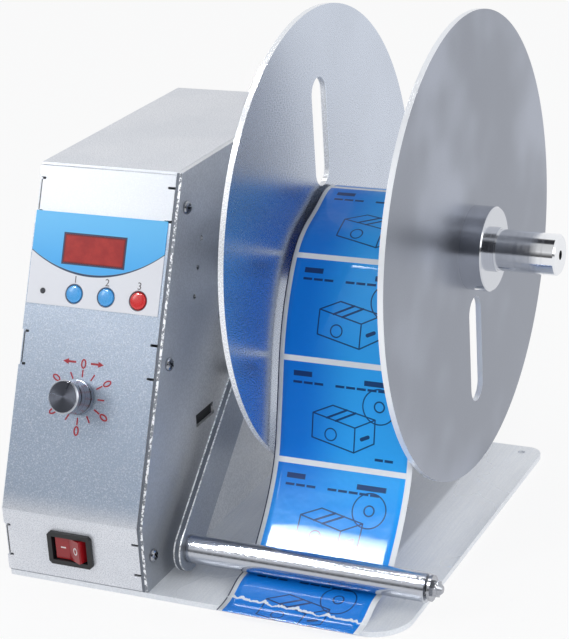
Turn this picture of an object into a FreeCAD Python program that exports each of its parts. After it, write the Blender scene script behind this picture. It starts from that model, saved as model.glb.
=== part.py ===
import FreeCAD, Part
import Sketcher
import math
import os
import re
from FreeCAD import Placement, Rotation, Vector

# Label rewinder: a sheet metal control box on a base plate. A motor in the box turns a spindle
# through a pair of spur gears. The backing web of the labels comes in over the base, passes under
# the roller of a swing arm and winds on the spindle between two discs.
# Millimetres, +X from the box towards the free end of the spindle, +Y to the back, +Z up.
# The origin is the centre of the base plate's underside.

doc = FreeCAD.newDocument("label_rewinder")

# Driving dimensions
SIZES = {
    # base plate
    "base_width": 223,
    "base_depth": 228,
    "base_thickness": 3,
    "front_corner_radius": 20,
    "rear_corner_radius": 9,
    "left_corner_radius": 2,
    "bench_hole_radius": 2.1,
    "bench_hole_side_inset": 11.5,
    "bench_hole_rear_inset": 8,
    "bench_hole_front_inset": 38,
    # control box
    "box_width": 84,
    "box_height": 204,
    "lower_face_height": 36,
    "slope_run": 73,
    "side_plate_thickness": 3,
    "sheet_thickness": 1.2,
    "seam_gap": 0.2,
    "foot_flange_width": 15,
    "foot_flange_inset": 6,
    "cover_foot_width": 7.5,
    "cover_lip_width": 10,
    "panel_return": 12,
    "tab_depth": 14,
    "tab_length": 16,
    "relief_width": 1.3,
    "relief_length": 4,
    "tab_screw_depth": 8,
    "upper_tab_along": 166.5,
    "middle_tab_along": 85.5,
    "lower_tab_height": 18,
    "rear_vent_length": 34,
    "rear_vent_width": 3,
    "rear_vent_pitch": 8,
    # screws of the sheet metal
    "panel_screw_radius": 2,
    "screw_hole_clearance": 0.15,
    "panel_screw_head_radius": 3.6,
    "panel_screw_head_height": 2.4,
    "panel_screw_length": 9,
    "foot_screw_radius": 1.5,
    "foot_screw_head_radius": 3,
    "foot_screw_head_height": 1.8,
    # controls on the slope, along it from the fold, with each one's offset from the box's middle
    "overlay_left": 0.8,
    "overlay_margins": 5.6,
    "overlay_low": 109,
    "overlay_length": 49,
    "overlay_thickness": 0.5,
    "window_offset": 4,
    "window_centre_along": 139.4,
    "window_width": 36,
    "window_length": 15,
    "window_thickness": 1.6,
    "first_button_offset": 13,
    "button_pitch": 19,
    "button_along": 116,
    "button_radius": 4.8,
    "button_rise": 1.9,
    "button_travel": 1,
    "button_clearance": 0.25,
    "led_radius": 1.5,
    "board_depth": 11,
    "board_thickness": 1.6,
    "board_margins": 14,
    "board_length": 47,
    "standoff_radius": 2.5,
    "knob_offset": 2.8,
    "knob_along": 63,
    "knob_radius": 9,
    "knob_length": 16.8,
    "knob_lift": 0.8,
    "knob_cap": 4.1,
    "pointer_angle": 22,
    "dial_shaft_radius": 3,
    "dial_bush_radius": 3.5,
    "dial_body_radius": 8.2,
    "dial_body_depth": 9,
    # rocker switch in the lower face
    "switch_offset": 1.8,
    "switch_height": 18.3,
    "switch_width": 26,
    "switch_tall": 18.5,
    "switch_rim": 2.6,
    "switch_rise": 2,
    "switch_depth": 17,
    "rocker_tilt": 12,
    "rocker_half_length": 8,
    "rocker_height": 12.6,
    "rocker_pivot_depth": 4,
    "rocker_pin_radius": 1.4,
    # spindle and its bearings
    "spindle_back": 157,
    "spindle_height": 150,
    "spindle_radius": 11,
    "spindle_reach": 173,
    "end_hole_radius": 2.5,
    "end_hole_depth": 14,
    "journal_radius": 8.45,
    "gear_seat_radius": 7,
    "running_clearance": 0.05,
    "bearing_radius": 17.5,
    "bearing_width": 10,
    "bearing_land": 2,
    "housing_wall": 3.5,
    "housing_boss_radius": 22.5,
    "housing_boss_length": 12,
    "housing_flange_radius": 30,
    "housing_flange_thickness": 6,
    "housing_spigot": 3,
    "housing_screw_circle": 26,
    # discs and hubs
    "disc_radius": 125,
    "disc_thickness": 3,
    "disc_standoff": 37,
    "disc_gap": 82,
    "slot_inner_end": 28,
    "slot_outer_end": 88,
    "slot_width": 18,
    "hub_radius": 22.5,
    "inner_hub_length": 18,
    "outer_hub_length": 12,
    "outer_collar_radius": 11.9,
    "outer_collar_length": 3.4,
    "disc_screw_circle": 17,
    "disc_screw_radius": 2,
    "disc_screw_head_radius": 4,
    "set_screw_radius": 2.5,
    # web, roll and core
    "web_width": 78,
    "web_thickness": 0.4,
    "web_clearance": 0.3,
    "web_overhang": 4.5,
    "roll_radius": 26.5,
    "core_radius": 14.5,
    "core_clearance": 0.3,
    # gears and motor
    "gear_module": 1,
    "gear_teeth": 48,
    "pinion_teeth": 16,
    "gear_width": 8,
    "gear_hub_radius": 12,
    "gear_hub_length": 3,
    "gear_backlash": 0.16,
    "ring_thickness": 1.2,
    "bracket_standoff": 20,
    "bracket_thickness": 2.5,
    "bracket_width": 72,
    "bracket_tall": 50,
    "bracket_post_radius": 4,
    "upper_post_across": 30,
    "upper_post_rise": 12,
    "lower_post_across": 24,
    "lower_post_drop": 24,
    "gearbox_radius": 18.5,
    "gearbox_length": 22,
    "motor_radius": 17.5,
    "motor_room": 55,
    "motor_shaft_radius": 3,
    # swing arm and roller
    "arm_pivot_back": 135,
    "arm_pivot_drop": 40,
    "arm_reach": 142,
    "roller_height": 17.2143,
    "arm_swing_angle": 30,
    "arm_width": 24,
    "arm_thickness": 4,
    "arm_gap": 8,
    "pivot_pin_radius": 5,
    "pivot_bush_radius": 8,
    "pivot_flange_radius": 11,
    "stop_pin_radius": 3,
    "stop_pin_distance": 30,
    "stop_clearance": 0.3,
    "roller_radius": 7.5,
    "roller_bore": 5.6,
    "roller_start": 13,
    "roller_length": 131.5,
    "roller_axle_radius": 2.5,
    "roller_bearing_width": 4,
    "axle_nut_radius": 4.6,
    "axle_nut_length": 5,
    # arm sensor window and the three small holes in the side plate
    "sensor_back": 76,
    "sensor_height": 68.5,
    "sensor_width": 20,
    "sensor_tall": 7,
    "small_hole_radius": 1.5,
    # power supply and mains inlet
    "supply_width": 52,
    "supply_depth": 78,
    "supply_post": 5,
    "supply_post_inset": 3.5,
    "supply_tall": 22,
    "supply_can_radius": 7,
    "inlet_width": 27.5,
    "inlet_tall": 20,
    "inlet_cavity_width": 24.4,
    "inlet_cavity_tall": 16.4,
    "inlet_depth": 20,
    "inlet_rim": 1.8,
    "inlet_height": 24,
}

# Places that follow from the driving dimensions
PLACES = {
    "wall_face": "-base_width / 2",
    "plate_face": "wall_face + box_width",
    "plate_inner": "plate_face - side_plate_thickness",
    "front_face": "-base_depth / 2",
    "rear_face": "base_depth / 2",
    "box_top": "base_thickness + box_height",
    "fold_height": "base_thickness + lower_face_height",
    "slope_rise": "box_height - lower_face_height",
    "slope_angle": "atan2(slope_rise; slope_run)",
    "slope_length": "sqrt(slope_rise ^ 2 + slope_run ^ 2)",
    "spindle_y": "front_face + spindle_back",
    "spindle_end": "plate_face + spindle_reach",
    "disc_back": "plate_face + disc_standoff",
    "disc_front": "disc_back + disc_thickness",
    "outer_disc_back": "disc_front + disc_gap",
    "outer_disc_front": "outer_disc_back + disc_thickness",
    "web_start": "disc_front + (disc_gap - web_width) / 2",
    "housing_end": "plate_face + housing_flange_thickness + housing_boss_length",
    "spigot_end": "plate_inner - housing_spigot",
    "journal_start": "spigot_end - 0.9",
    "gear_face": "journal_start - gear_hub_length",
    "gear_back": "gear_face - gear_width",
    "bracket_face": "plate_inner - bracket_standoff",
    "motor_face": "bracket_face - bracket_thickness",
    "gear_centres": "gear_module * (gear_teeth + pinion_teeth) / 2",
    "motor_height": "spindle_height - gear_centres",
    "pivot_y": "front_face + arm_pivot_back",
    "arm_pivot_height": "spindle_height - arm_pivot_drop",
    "arm_rest_angle": "asin((arm_pivot_height - roller_height) / arm_reach)",
    "arm_inner": "plate_face + arm_gap",
    "arm_outer": "arm_inner + arm_thickness",
    "roller_y": "pivot_y - arm_reach * cos(arm_rest_angle)",
    "roller_z": "roller_height",
    "roller_left": "plate_face + roller_start",
    "roller_right": "roller_left + roller_length",
    "overlay_width": "box_width - overlay_margins",
    "board_width": "box_width - board_margins",
    "window_centre_across": "box_width / 2 - window_offset",
    "first_button_across": "box_width / 2 - first_button_offset",
    "knob_across": "box_width / 2 - knob_offset",
    "motor_length": "box_width - motor_room",
    "switch_x": "wall_face + box_width / 2 - switch_offset",
    "switch_z": "base_thickness + switch_height",
    "inlet_x": "wall_face + box_width / 2",
}


def cell_link(name, own_sheet):
    if name in SIZES:
        return name if own_sheet == "Sizes" else "Sizes." + name
    if name in PLACES:
        return name if own_sheet == "Places" else "Places." + name
    return name


def linked(formula, own_sheet=""):
    return re.sub(r"[a-z_]\w*", lambda word: cell_link(word.group(0), own_sheet), str(formula))


def fill_sheet(title, rows):
    sheet = doc.addObject("Spreadsheet::Sheet", title)
    for row, (name, content) in enumerate(rows.items(), 1):
        formula = isinstance(content, str)
        sheet.set(f"A{row}", name)
        sheet.set(f"B{row}", "=" + linked(content, title) if formula else str(content))
        sheet.setAlias(f"B{row}", name)
    return sheet


sizes_sheet = fill_sheet("Sizes", SIZES)
places_sheet = fill_sheet("Places", PLACES)
doc.recompute()


def size(name):
    value = (sizes_sheet if name in SIZES else places_sheet).get(name)
    return float(getattr(value, "Value", value))


# Tools for making and binding the objects

parts = {}
cuts = []


def bind(item, formulas):
    for path, formula in formulas.items():
        item.setExpression(path, linked(formula))
    return item


def place(item, x=0, y=0, z=0):
    return bind(item, {"Placement.Base.x": x, "Placement.Base.y": y, "Placement.Base.z": z})


def keep(node, item):
    item.Label = node
    parts[node] = item
    return item


def block(corner, spans):
    item = doc.addObject("Part::Box", "block")
    bind(item, {"Length": spans[0], "Width": spans[1], "Height": spans[2]})
    return place(item, *corner)


AXIS_TURNS = {
    "x": Rotation(Vector(0, 1, 0), 90),
    "y": Rotation(Vector(1, 0, 0), -90),
    "z": Rotation(),
}


def rod(axis, radius, start, length):
    item = doc.addObject("Part::Cylinder", "rod")
    item.Placement = Placement(Vector(), AXIS_TURNS[axis])
    bind(item, {"Radius": radius, "Height": length})
    return place(item, *start)


def cone(axis, radius_low, radius_high, start, length):
    item = doc.addObject("Part::Cone", "cone")
    item.Placement = Placement(Vector(), AXIS_TURNS[axis])
    bind(item, {"Radius1": radius_low, "Radius2": radius_high, "Height": length})
    return place(item, *start)


def fuse(shapes):
    item = doc.addObject("Part::MultiFuse", "fuse")
    item.Shapes = shapes
    return item


def cut(base, tools):
    item = doc.addObject("Part::Cut", "cut")
    item.Base = base
    item.Tool = tools[0] if len(tools) == 1 else fuse(tools)
    cuts.append((item, base))
    return item


def group(shapes):
    item = doc.addObject("Part::Compound", "group")
    item.Links = shapes
    return item


def on_slope(piece):
    """Moves a piece from the slope's own frame: x from the left face, y up the slope, z outwards."""
    item = group([piece])
    item.Placement = Placement(Vector(), Rotation(Vector(1, 0, 0), 45))
    place(item, "wall_face", "front_face", "fold_height")
    return bind(item, {"Placement.Rotation.Angle": "slope_angle"})


def body(node):
    item = doc.addObject("PartDesign::Body", node)
    return keep(node, item)


def origin_item(owner, role):
    return next(item for item in owner.Origin.OriginFeatures if item.Role == role)


def sketch(owner, plane, offset=0):
    item = owner.newObject("Sketcher::SketchObject", "sketch")
    item.AttachmentSupport = [(origin_item(owner, plane), "")]
    item.MapMode = "FlatFace"
    return bind(item, {"AttachmentOffset.Base.z": offset})


def pin_point(item, index, end, u, v):
    """Holds a point of a sketch at two bound distances from the sketch's origin."""
    for kind, letter, formula in (("DistanceX", "u", u), ("DistanceY", "v", v)):
        number = item.addConstraint(Sketcher.Constraint(kind, -1, 1, index, end, index + 1.0))
        item.renameConstraint(number, f"{letter}{index}")
        item.setExpression(f"Constraints.{letter}{index}", linked(formula))


def polygon(item, corners):
    first = item.GeometryCount
    spots = [Vector(i, i * i, 0) for i in range(len(corners))]
    for i, spot in enumerate(spots):
        item.addGeometry(Part.LineSegment(spot, spots[(i + 1) % len(spots)]), False)
    for i, (u, v) in enumerate(corners):
        following = first + (i + 1) % len(spots)
        item.addConstraint(Sketcher.Constraint("Coincident", first + i, 2, following, 1))
        pin_point(item, first + i, 1, u, v)


def circle(item, u, v, radius):
    index = item.GeometryCount
    item.addGeometry(Part.Circle(Vector(index, index, 0), Vector(0, 0, 1), 1), False)
    number = item.addConstraint(Sketcher.Constraint("Radius", index, 1))
    item.renameConstraint(number, f"r{index}")
    item.setExpression(f"Constraints.r{index}", linked(radius))
    pin_point(item, index, 3, u, v)


def pad(owner, outline, length):
    item = owner.newObject("PartDesign::Pad", "pad")
    item.Profile = outline
    bind(item, {"Length": length})
    owner.Tip = item
    return item


def pocket_through(owner, outline):
    before = owner.Tip
    item = owner.newObject("PartDesign::Pocket", "pocket")
    item.Profile = outline
    item.Type = "ThroughAll"
    item.SideType = "Symmetric"
    owner.Tip = item
    cuts.append((item, before))
    return item


def revolve(owner, outline, role):
    item = owner.newObject("PartDesign::Revolution", "revolution")
    item.Profile = outline
    item.ReferenceAxis = (origin_item(owner, role), [""])
    item.Angle = 360
    owner.Tip = item
    return item


def turned(node, outline, y=0, z=0):
    """A turned piece about an axis along X. The outline's corners are (x, radius)."""
    owner = body(node)
    profile = sketch(owner, "XZ_Plane")
    polygon(profile, outline)
    revolve(owner, profile, "X_Axis")
    place(owner, 0, y, z)
    return owner


def ring(bore, outer, start, end):
    return [(start, bore), (end, bore), (end, outer), (start, outer)]


def turned_on_slope(outline, across, along):
    """A turned piece about the slope's normal. The outline's corners are (radius, height)."""
    owner = doc.addObject("PartDesign::Body", "turned")
    profile = sketch(owner, "XZ_Plane")
    polygon(profile, outline)
    revolve(owner, profile, "Z_Axis")
    return place(owner, across, along)


def holes_along_x(owner, spots):
    """Through holes along X. Each spot is (y, z, radius) in the body's own frame."""
    outline = sketch(owner, "YZ_Plane")
    for y, z, radius in spots:
        circle(outline, y, z, radius)
    return pocket_through(owner, outline)


def polar_pattern(owner, feature, count):
    item = owner.newObject("PartDesign::PolarPattern", "pattern")
    item.Originals = [feature]
    item.Axis = (origin_item(owner, "X_Axis"), [""])
    item.Angle = 360
    item.Occurrences = count
    owner.Tip = item
    cuts.append((item, feature))
    return item


def solid_of(name, shape):
    item = doc.addObject("Part::Feature", name)
    item.Shape = shape
    return item


def pan_screw(side, x, y, z, length):
    """A pan head screw along X. side is 1 where the head looks towards +X and -1 otherwise."""
    head_start = x if side > 0 else f"{x} - panel_screw_head_height"
    wide = "panel_screw_head_radius"
    low, high = (wide, wide + " * 0.72") if side > 0 else (wide + " * 0.72", wide)
    head = cone("x", low, high, (head_start, y, z), "panel_screw_head_height")
    shank_start = f"{x} - {length}" if side > 0 else x
    return fuse([head, rod("x", "panel_screw_radius", (shank_start, y, z), length)])


# Height of the slope's outer face, and points at a depth behind it
def slope_y(depth, height):
    return f"front_face + ({depth}) / sin(slope_angle) + ({height} - fold_height) / tan(slope_angle)"


def fold_corner(depth):
    return f"fold_height - ({depth}) * (1 - sin(slope_angle)) / cos(slope_angle)"


def tab_spot(along):
    y = f"front_face + {along} * cos(slope_angle) + tab_screw_depth * sin(slope_angle)"
    z = f"fold_height + {along} * sin(slope_angle) - tab_screw_depth * cos(slope_angle)"
    return y, z


tab_screw_spots = [
    tab_spot("upper_tab_along"),
    tab_spot("middle_tab_along"),
    ("front_face + tab_screw_depth", "base_thickness + lower_tab_height"),
]


# Base plate
def base_plate():
    owner = body("base_plate")
    outline = sketch(owner, "XY_Plane")
    left, right = "-base_width / 2", "base_width / 2"
    polygon(outline, [(left, "front_face"), (right, "front_face"), (right, "rear_face"), (left, "rear_face")])
    plate = pad(owner, outline, "base_thickness")
    holes = sketch(owner, "XY_Plane")
    for side in ("-", ""):
        across = f"{side}(base_width / 2 - bench_hole_side_inset)"
        circle(holes, across, "front_face + bench_hole_front_inset", "bench_hole_radius")
        circle(holes, across, "rear_face - bench_hole_rear_inset", "bench_hole_radius")
    drilled = pocket_through(owner, holes)
    doc.recompute()
    corners = {
        "front_corner_radius": (1, -1),
        "rear_corner_radius": (1, 1),
        "left_corner_radius": (-1, 0),
    }
    last = drilled
    for radius, (side, end) in corners.items():
        edges = [
            f"Edge{i}"
            for i, edge in enumerate(last.Shape.Edges, 1)
            if edge.BoundBox.ZLength > size("base_thickness") / 2
            and edge.CenterOfMass.x * side > size("base_width") * 0.49
            and (end == 0 or edge.CenterOfMass.y * end > size("base_depth") * 0.49)
        ]
        rounded = owner.newObject("PartDesign::Fillet", radius)
        rounded.Base = (last, edges)
        bind(rounded, {"Radius": radius})
        owner.Tip = rounded
        doc.recompute()
        last = rounded
    return foot_screw_seats(owner)


foot_screw_xs = ["plate_inner - foot_flange_width / 2", "wall_face + sheet_thickness + cover_foot_width / 2"]
foot_screw_ys = ["front_face + 30", "spindle_y - 35", "rear_face - 25"]


def foot_screw_seats(owner):
    """Countersinks from below for the screws that hold the box on the base."""
    plate = parts.pop("base_plate")
    plate.Label = "base_blank"
    seats = []
    for x in foot_screw_xs:
        for y in foot_screw_ys:
            radius = "foot_screw_radius + screw_hole_clearance"
            seats.append(rod("z", radius, (x, y, -1), "base_thickness + 2"))
            wide = "foot_screw_head_radius + screw_hole_clearance"
            seats.append(cone("z", wide, radius, (x, y, 0), "foot_screw_head_height + screw_hole_clearance"))
    return keep("base_plate", cut(plate, seats))


def base_screws():
    screws = []
    for x in foot_screw_xs:
        for y in foot_screw_ys:
            head = cone("z", "foot_screw_head_radius", "foot_screw_radius", (x, y, 0), "foot_screw_head_height")
            shank = rod("z", "foot_screw_radius", (x, y, 0), "base_thickness + side_plate_thickness + 1")
            screws.append(fuse([head, shank]))
    return keep("base_screws", group(screws))


# Side plate that carries the spindle, the arm and the motor
post_spots = [
    (f"spindle_y {side} upper_post_across", "motor_height + upper_post_rise") for side in "-+"
] + [
    (f"spindle_y {side} lower_post_across", "motor_height - lower_post_drop") for side in "-+"
]
small_hole_spots = [
    ("front_face + 87.6", "base_thickness + 164.3"),
    ("front_face + 81.4", "base_thickness + 150.2"),
    ("front_face + 75.2", "base_thickness + 136.1"),
]
lip_screw_spots = [
    ("spindle_y + 20", "box_top - sheet_thickness - cover_lip_width / 2"),
    ("rear_face - sheet_thickness - cover_lip_width / 2", "base_thickness + 60"),
    ("rear_face - sheet_thickness - cover_lip_width / 2", "base_thickness + 160"),
]


def housing_screw_spots():
    spots = []
    for quarter in range(4):
        angle = 45 + 90 * quarter
        spots.append((
            f"spindle_y + housing_screw_circle * cos({angle})",
            f"spindle_height + housing_screw_circle * sin({angle})",
        ))
    return spots


def stop_pin_spot(side, angle):
    """A stop beside the arm's edge: side is 1 below the arm and -1 above it."""
    off = f"{side} * (arm_width / 2 + stop_pin_radius + stop_clearance)"
    y = f"pivot_y - stop_pin_distance * cos({angle}) + {off} * sin({angle})"
    z = f"arm_pivot_height - stop_pin_distance * sin({angle}) - {off} * cos({angle})"
    return y, z


stop_pin_spots = [
    stop_pin_spot(1, "arm_rest_angle"),
    stop_pin_spot(-1, "(arm_rest_angle - arm_swing_angle * 1 deg)"),
]


def side_plate():
    owner = body("side_plate")
    outline = sketch(owner, "YZ_Plane", "plate_inner")
    polygon(outline, [
        ("front_face", "base_thickness"),
        ("rear_face", "base_thickness"),
        ("rear_face", "box_top"),
        ("front_face + slope_run", "box_top"),
        ("front_face", "fold_height"),
    ])
    pad(owner, outline, "side_plate_thickness")
    foot = sketch(owner, "XZ_Plane", "foot_flange_inset - rear_face")
    polygon(foot, [
        ("plate_inner - foot_flange_width", "base_thickness"),
        ("plate_inner + 0.5", "base_thickness"),
        ("plate_inner + 0.5", "base_thickness + side_plate_thickness"),
        ("plate_inner - foot_flange_width", "base_thickness + side_plate_thickness"),
    ])
    pad(owner, foot, "base_depth - foot_flange_inset - panel_return")
    screw = "panel_screw_radius + screw_hole_clearance"
    spots = [("spindle_y", "spindle_height", "bearing_radius + housing_wall")]
    spots += [("pivot_y", "arm_pivot_height", "pivot_pin_radius * 0.6")]
    spots += [(y, z, screw) for y, z in tab_screw_spots + lip_screw_spots + post_spots]
    spots += [(y, z, screw) for y, z in housing_screw_spots()]
    spots += [(y, z, "stop_pin_radius * 0.7") for y, z in stop_pin_spots]
    spots += [(y, z, "small_hole_radius") for y, z in small_hole_spots]
    holes_along_x(owner, spots)
    window = sketch(owner, "YZ_Plane")
    polygon(window, [
        ("front_face + sensor_back - sensor_width / 2", "base_thickness + sensor_height - sensor_tall / 2"),
        ("front_face + sensor_back + sensor_width / 2", "base_thickness + sensor_height - sensor_tall / 2"),
        ("front_face + sensor_back + sensor_width / 2", "base_thickness + sensor_height + sensor_tall / 2"),
        ("front_face + sensor_back - sensor_width / 2", "base_thickness + sensor_height + sensor_tall / 2"),
    ])
    pocket_through(owner, window)
    blank = parts.pop("side_plate")
    blank.Label = "side_blank"
    taps = []
    for y in foot_screw_ys:
        spot = (foot_screw_xs[0], y, 0)
        taps.append(rod("z", "foot_screw_radius", spot, "base_thickness + side_plate_thickness + 2"))
    return keep("side_plate", cut(blank, taps))


# Box cover: left wall, top and rear in one sheet, with a foot and two lips for its screws
def prism_yz(corners, start, length):
    owner = doc.addObject("PartDesign::Body", "prism")
    outline = sketch(owner, "YZ_Plane", start)
    polygon(outline, corners)
    pad(owner, outline, length)
    return owner


def cover_profile(front, top_y, top, rear, bottom):
    """Side profile behind the front panel. front is the depth behind its outer faces."""
    return [
        (f"front_face + {front}", bottom),
        (rear, bottom),
        (rear, top),
        (top_y, top),
        (f"front_face + {front}", fold_corner(front)),
    ]


def box_cover():
    behind = "(sheet_thickness + seam_gap / 2)"
    width = "box_width - side_plate_thickness - seam_gap"
    outer_profile = cover_profile(behind, slope_y(behind, "box_top"), "box_top", "rear_face", "base_thickness")
    outer = prism_yz(outer_profile, "wall_face", width)
    inner = prism_yz([
        ("front_face - 5", "base_thickness - 5"),
        ("rear_face - sheet_thickness", "base_thickness - 5"),
        ("rear_face - sheet_thickness", "box_top - sheet_thickness"),
        ("front_face - 5", "box_top - sheet_thickness"),
    ], "wall_face + sheet_thickness", "box_width")
    lip_x = "plate_inner - seam_gap - sheet_thickness"
    lip_span = "(cover_lip_width + sheet_thickness)"
    foot = block(
        ("wall_face", "front_face + 12", "base_thickness"),
        ("sheet_thickness + cover_foot_width", "base_depth - 24", "sheet_thickness"),
    )
    top_lip = block(
        (lip_x, slope_y("sheet_thickness + 14", "box_top"), f"box_top - {lip_span}"),
        ("sheet_thickness", "40 + spindle_back / 2", lip_span),
    )
    rear_lip = block(
        (lip_x, f"rear_face - {lip_span}", "base_thickness + 8"),
        ("sheet_thickness", lip_span, "box_height - 24"),
    )
    shell = fuse([cut(outer, [inner]), foot, top_lip, rear_lip])
    openings = [inlet_block(0.15, "rear_face - sheet_thickness - 1", "sheet_thickness + 2")]
    for row in range(6):
        z = f"box_top - 40 - {row} * rear_vent_pitch"
        x = "wall_face + box_width / 2 - rear_vent_length / 2"
        vent = ("rear_vent_length", "sheet_thickness + 2", "rear_vent_width")
        openings.append(block((x, "rear_face - sheet_thickness - 1", z), vent))
    screw = "panel_screw_radius + screw_hole_clearance"
    for y, z in tab_screw_spots:
        openings.append(rod("x", screw, ("wall_face - 1", y, z), "sheet_thickness + 2"))
    for y, z in lip_screw_spots:
        openings.append(rod("x", screw, (f"{lip_x} - 1", y, z), "sheet_thickness + 2"))
    for y in foot_screw_ys:
        openings.append(rod("z", "foot_screw_radius", (foot_screw_xs[1], y, 0), "base_thickness + 6"))
    return keep("box_cover", cut(shell, openings))


# Front panel: one folded sheet with returns at both ends and three bent tabs down each side
def folded_sheet():
    """The panel's bent sheet, from its outer outline offset inwards by the thickness."""
    thickness = size("sheet_thickness")
    low = size("base_thickness") + 0.5
    high = size("box_top") - thickness - size("seam_gap") / 2
    rise = high - size("fold_height")
    top_y = size("front_face") + rise / math.tan(math.radians(size("slope_angle")))
    left = size("wall_face")
    outline = [
        Vector(left, size("front_face") + size("panel_return"), low),
        Vector(left, size("front_face"), low),
        Vector(left, size("front_face"), size("fold_height")),
        Vector(left, top_y, high),
        Vector(left, top_y + size("panel_return"), high),
    ]
    wire = Part.makePolygon(outline)
    bent = wire.makeOffset2D(thickness, 2, True, True)
    if bent.BoundBox.YMin < size("front_face") - thickness / 2:
        bent = wire.makeOffset2D(-thickness, 2, True, True)
    width = size("box_width") - size("side_plate_thickness") - size("seam_gap")
    return bent.extrude(Vector(width, 0, 0))


panel_width = "box_width - side_plate_thickness - seam_gap"
left_tab_x = "sheet_thickness + seam_gap"
right_tab_x = f"{panel_width} - sheet_thickness"


def slope_tabs():
    solids = []
    for along in ("upper_tab_along", "middle_tab_along"):
        for x in (left_tab_x, right_tab_x):
            corner = (x, f"{along} - tab_length / 2", "-tab_depth")
            solids.append(block(corner, ("sheet_thickness", "tab_length", "tab_depth")))
    return on_slope(fuse(solids))


def lower_tabs():
    solids = []
    for x in (left_tab_x, right_tab_x):
        corner = (f"wall_face + {x}", "front_face", "base_thickness + lower_tab_height - tab_length / 2")
        solids.append(block(corner, ("sheet_thickness", "tab_depth", "tab_length")))
    return fuse(solids)


def return_trims():
    """The left ends of both returns, cut back to stand clear inside the cover's wall."""
    upper = on_slope(block(("-1", "slope_length - 6", "-panel_return - 2"), (f"1 + {left_tab_x}", 14, "panel_return + 2 - sheet_thickness")))
    lower = block(
        ("wall_face - 1", "front_face + sheet_thickness", "base_thickness"),
        (f"1 + {left_tab_x}", "panel_return", "sheet_thickness + 1"),
    )
    return [upper, lower]


def reliefs(along, make):
    """Two relief slots beside each tab and the strip cut away outside the left one."""
    low, high = f"{along} - tab_length / 2 - relief_width", f"{along} + tab_length / 2"
    tools = [make("-1", spot, "relief_length + 1", "relief_width") for spot in (low, high)]
    right = f"{panel_width} - relief_length"
    tools += [make(right, spot, "relief_length + 1", "relief_width") for spot in (low, high)]
    tools.append(make("-1", f"{along} - tab_length / 2", f"1 + {left_tab_x}", "tab_length"))
    return tools


def slope_cut(x, along, across, length):
    return block((x, along, "-sheet_thickness - 1"), (across, length, "sheet_thickness + 2"))


def lower_cut(x, height, across, tall):
    corner = (f"wall_face + {x}", "front_face - 1", f"base_thickness + {height}")
    return block(corner, (across, "sheet_thickness + 2", tall))


def slope_window(margin, low, high):
    """A block of the display window's size, widened all round by the margin."""
    corner = (
        f"window_centre_across - window_width / 2 - {margin}",
        f"window_centre_along - window_length / 2 - {margin}",
        low,
    )
    spans = (f"window_width + 2 * {margin}", f"window_length + 2 * {margin}", f"{high} - ({low})")
    return block(corner, spans)


def button_x(number):
    return f"first_button_across + {number} * button_pitch"


led_x = "first_button_across - button_pitch"


def front_panel():
    sheet = solid_of("panel_sheet", folded_sheet())
    blank = fuse([sheet, slope_tabs(), lower_tabs()])
    tools = reliefs("upper_tab_along", slope_cut) + reliefs("middle_tab_along", slope_cut)
    tools.append(slope_window(0.3, "-sheet_thickness - 1", "1"))
    span = "sheet_thickness + 2"
    for number in range(3):
        hole = rod("z", "button_radius + button_clearance", (button_x(number), "button_along", "-sheet_thickness - 1"), span)
        tools.append(hole)
    tools.append(rod("z", "led_radius + 0.1", (led_x, "button_along", "-sheet_thickness - 1"), span))
    tools.append(rod("z", "dial_bush_radius + 0.1", ("knob_across", "knob_along", "-sheet_thickness - 1"), span))
    slope_tools = on_slope(fuse(tools))
    switch_hole = block(
        ("switch_x - switch_width / 2 + 1.2", "front_face - 1", "switch_z - switch_tall / 2 + 1.2"),
        ("switch_width - 2.4", "sheet_thickness + 2", "switch_tall - 2.4"),
    )
    screw_holes = []
    for y, z in tab_screw_spots:
        start = ("wall_face + 1", y, z)
        screw_holes.append(rod("x", "panel_screw_radius + screw_hole_clearance", start, "box_width - 2"))
    lower_tools = reliefs("lower_tab_height", lower_cut)
    return keep("front_panel", cut(blank, [slope_tools, switch_hole] + return_trims() + lower_tools + screw_holes))


def panel_screws():
    screws = []
    for y, z in tab_screw_spots:
        screws.append(pan_screw(1, "plate_face", y, z, "panel_screw_length"))
        screws.append(pan_screw(-1, "wall_face", y, z, "panel_screw_length"))
    return keep("panel_screws", group(screws))


def cover_screws():
    screws = [pan_screw(1, "plate_face", y, z, "panel_screw_length") for y, z in lip_screw_spots]
    return keep("cover_screws", group(screws))


# Controls on the slope, modelled in the slope's own frame
def control_overlay():
    sheet = block(("overlay_left", "overlay_low", 0), ("overlay_width", "overlay_length", "overlay_thickness"))
    tools = [slope_window(0.05, "-1", "2")]
    for number in range(3):
        tools.append(rod("z", "button_radius + button_clearance", (button_x(number), "button_along", -1), 3))
    tools.append(rod("z", "led_radius + 0.1", (led_x, "button_along", -1), 3))
    return keep("control_overlay", on_slope(cut(sheet, tools)))


def display_window():
    low = "overlay_thickness + 0.1 - window_thickness"
    return keep("display_window", on_slope(slope_window(0, low, "overlay_thickness + 0.1")))


def display_module():
    """Four-digit module on the board, just behind the window."""
    top = "-sheet_thickness - 0.1"
    case = slope_window(1, "-board_depth", top)
    digits = []
    for digit in range(4):
        x = f"window_centre_across + ({digit} - 1.5) * window_width / 4.2 - 3"
        digits.append(block((x, "window_centre_along - 4.8", f"{top} - 0.4"), (6, 9.6, 2)))
    return keep("display_module", on_slope(cut(case, digits)))


board_left = "window_centre_across + 4 - board_width / 2"
board_low = "overlay_low + 1"
board_posts = [
    ("first_button_across - button_pitch / 2", f"{board_low} + 3.5"),
    ("first_button_across + button_pitch * 1.5", f"{board_low} + 3.5"),
    (f"{board_left} + 4", f"{board_low} + board_length - 3.5"),
    (f"{board_left} + board_width - 4", f"{board_low} + board_length - 3.5"),
]


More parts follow.
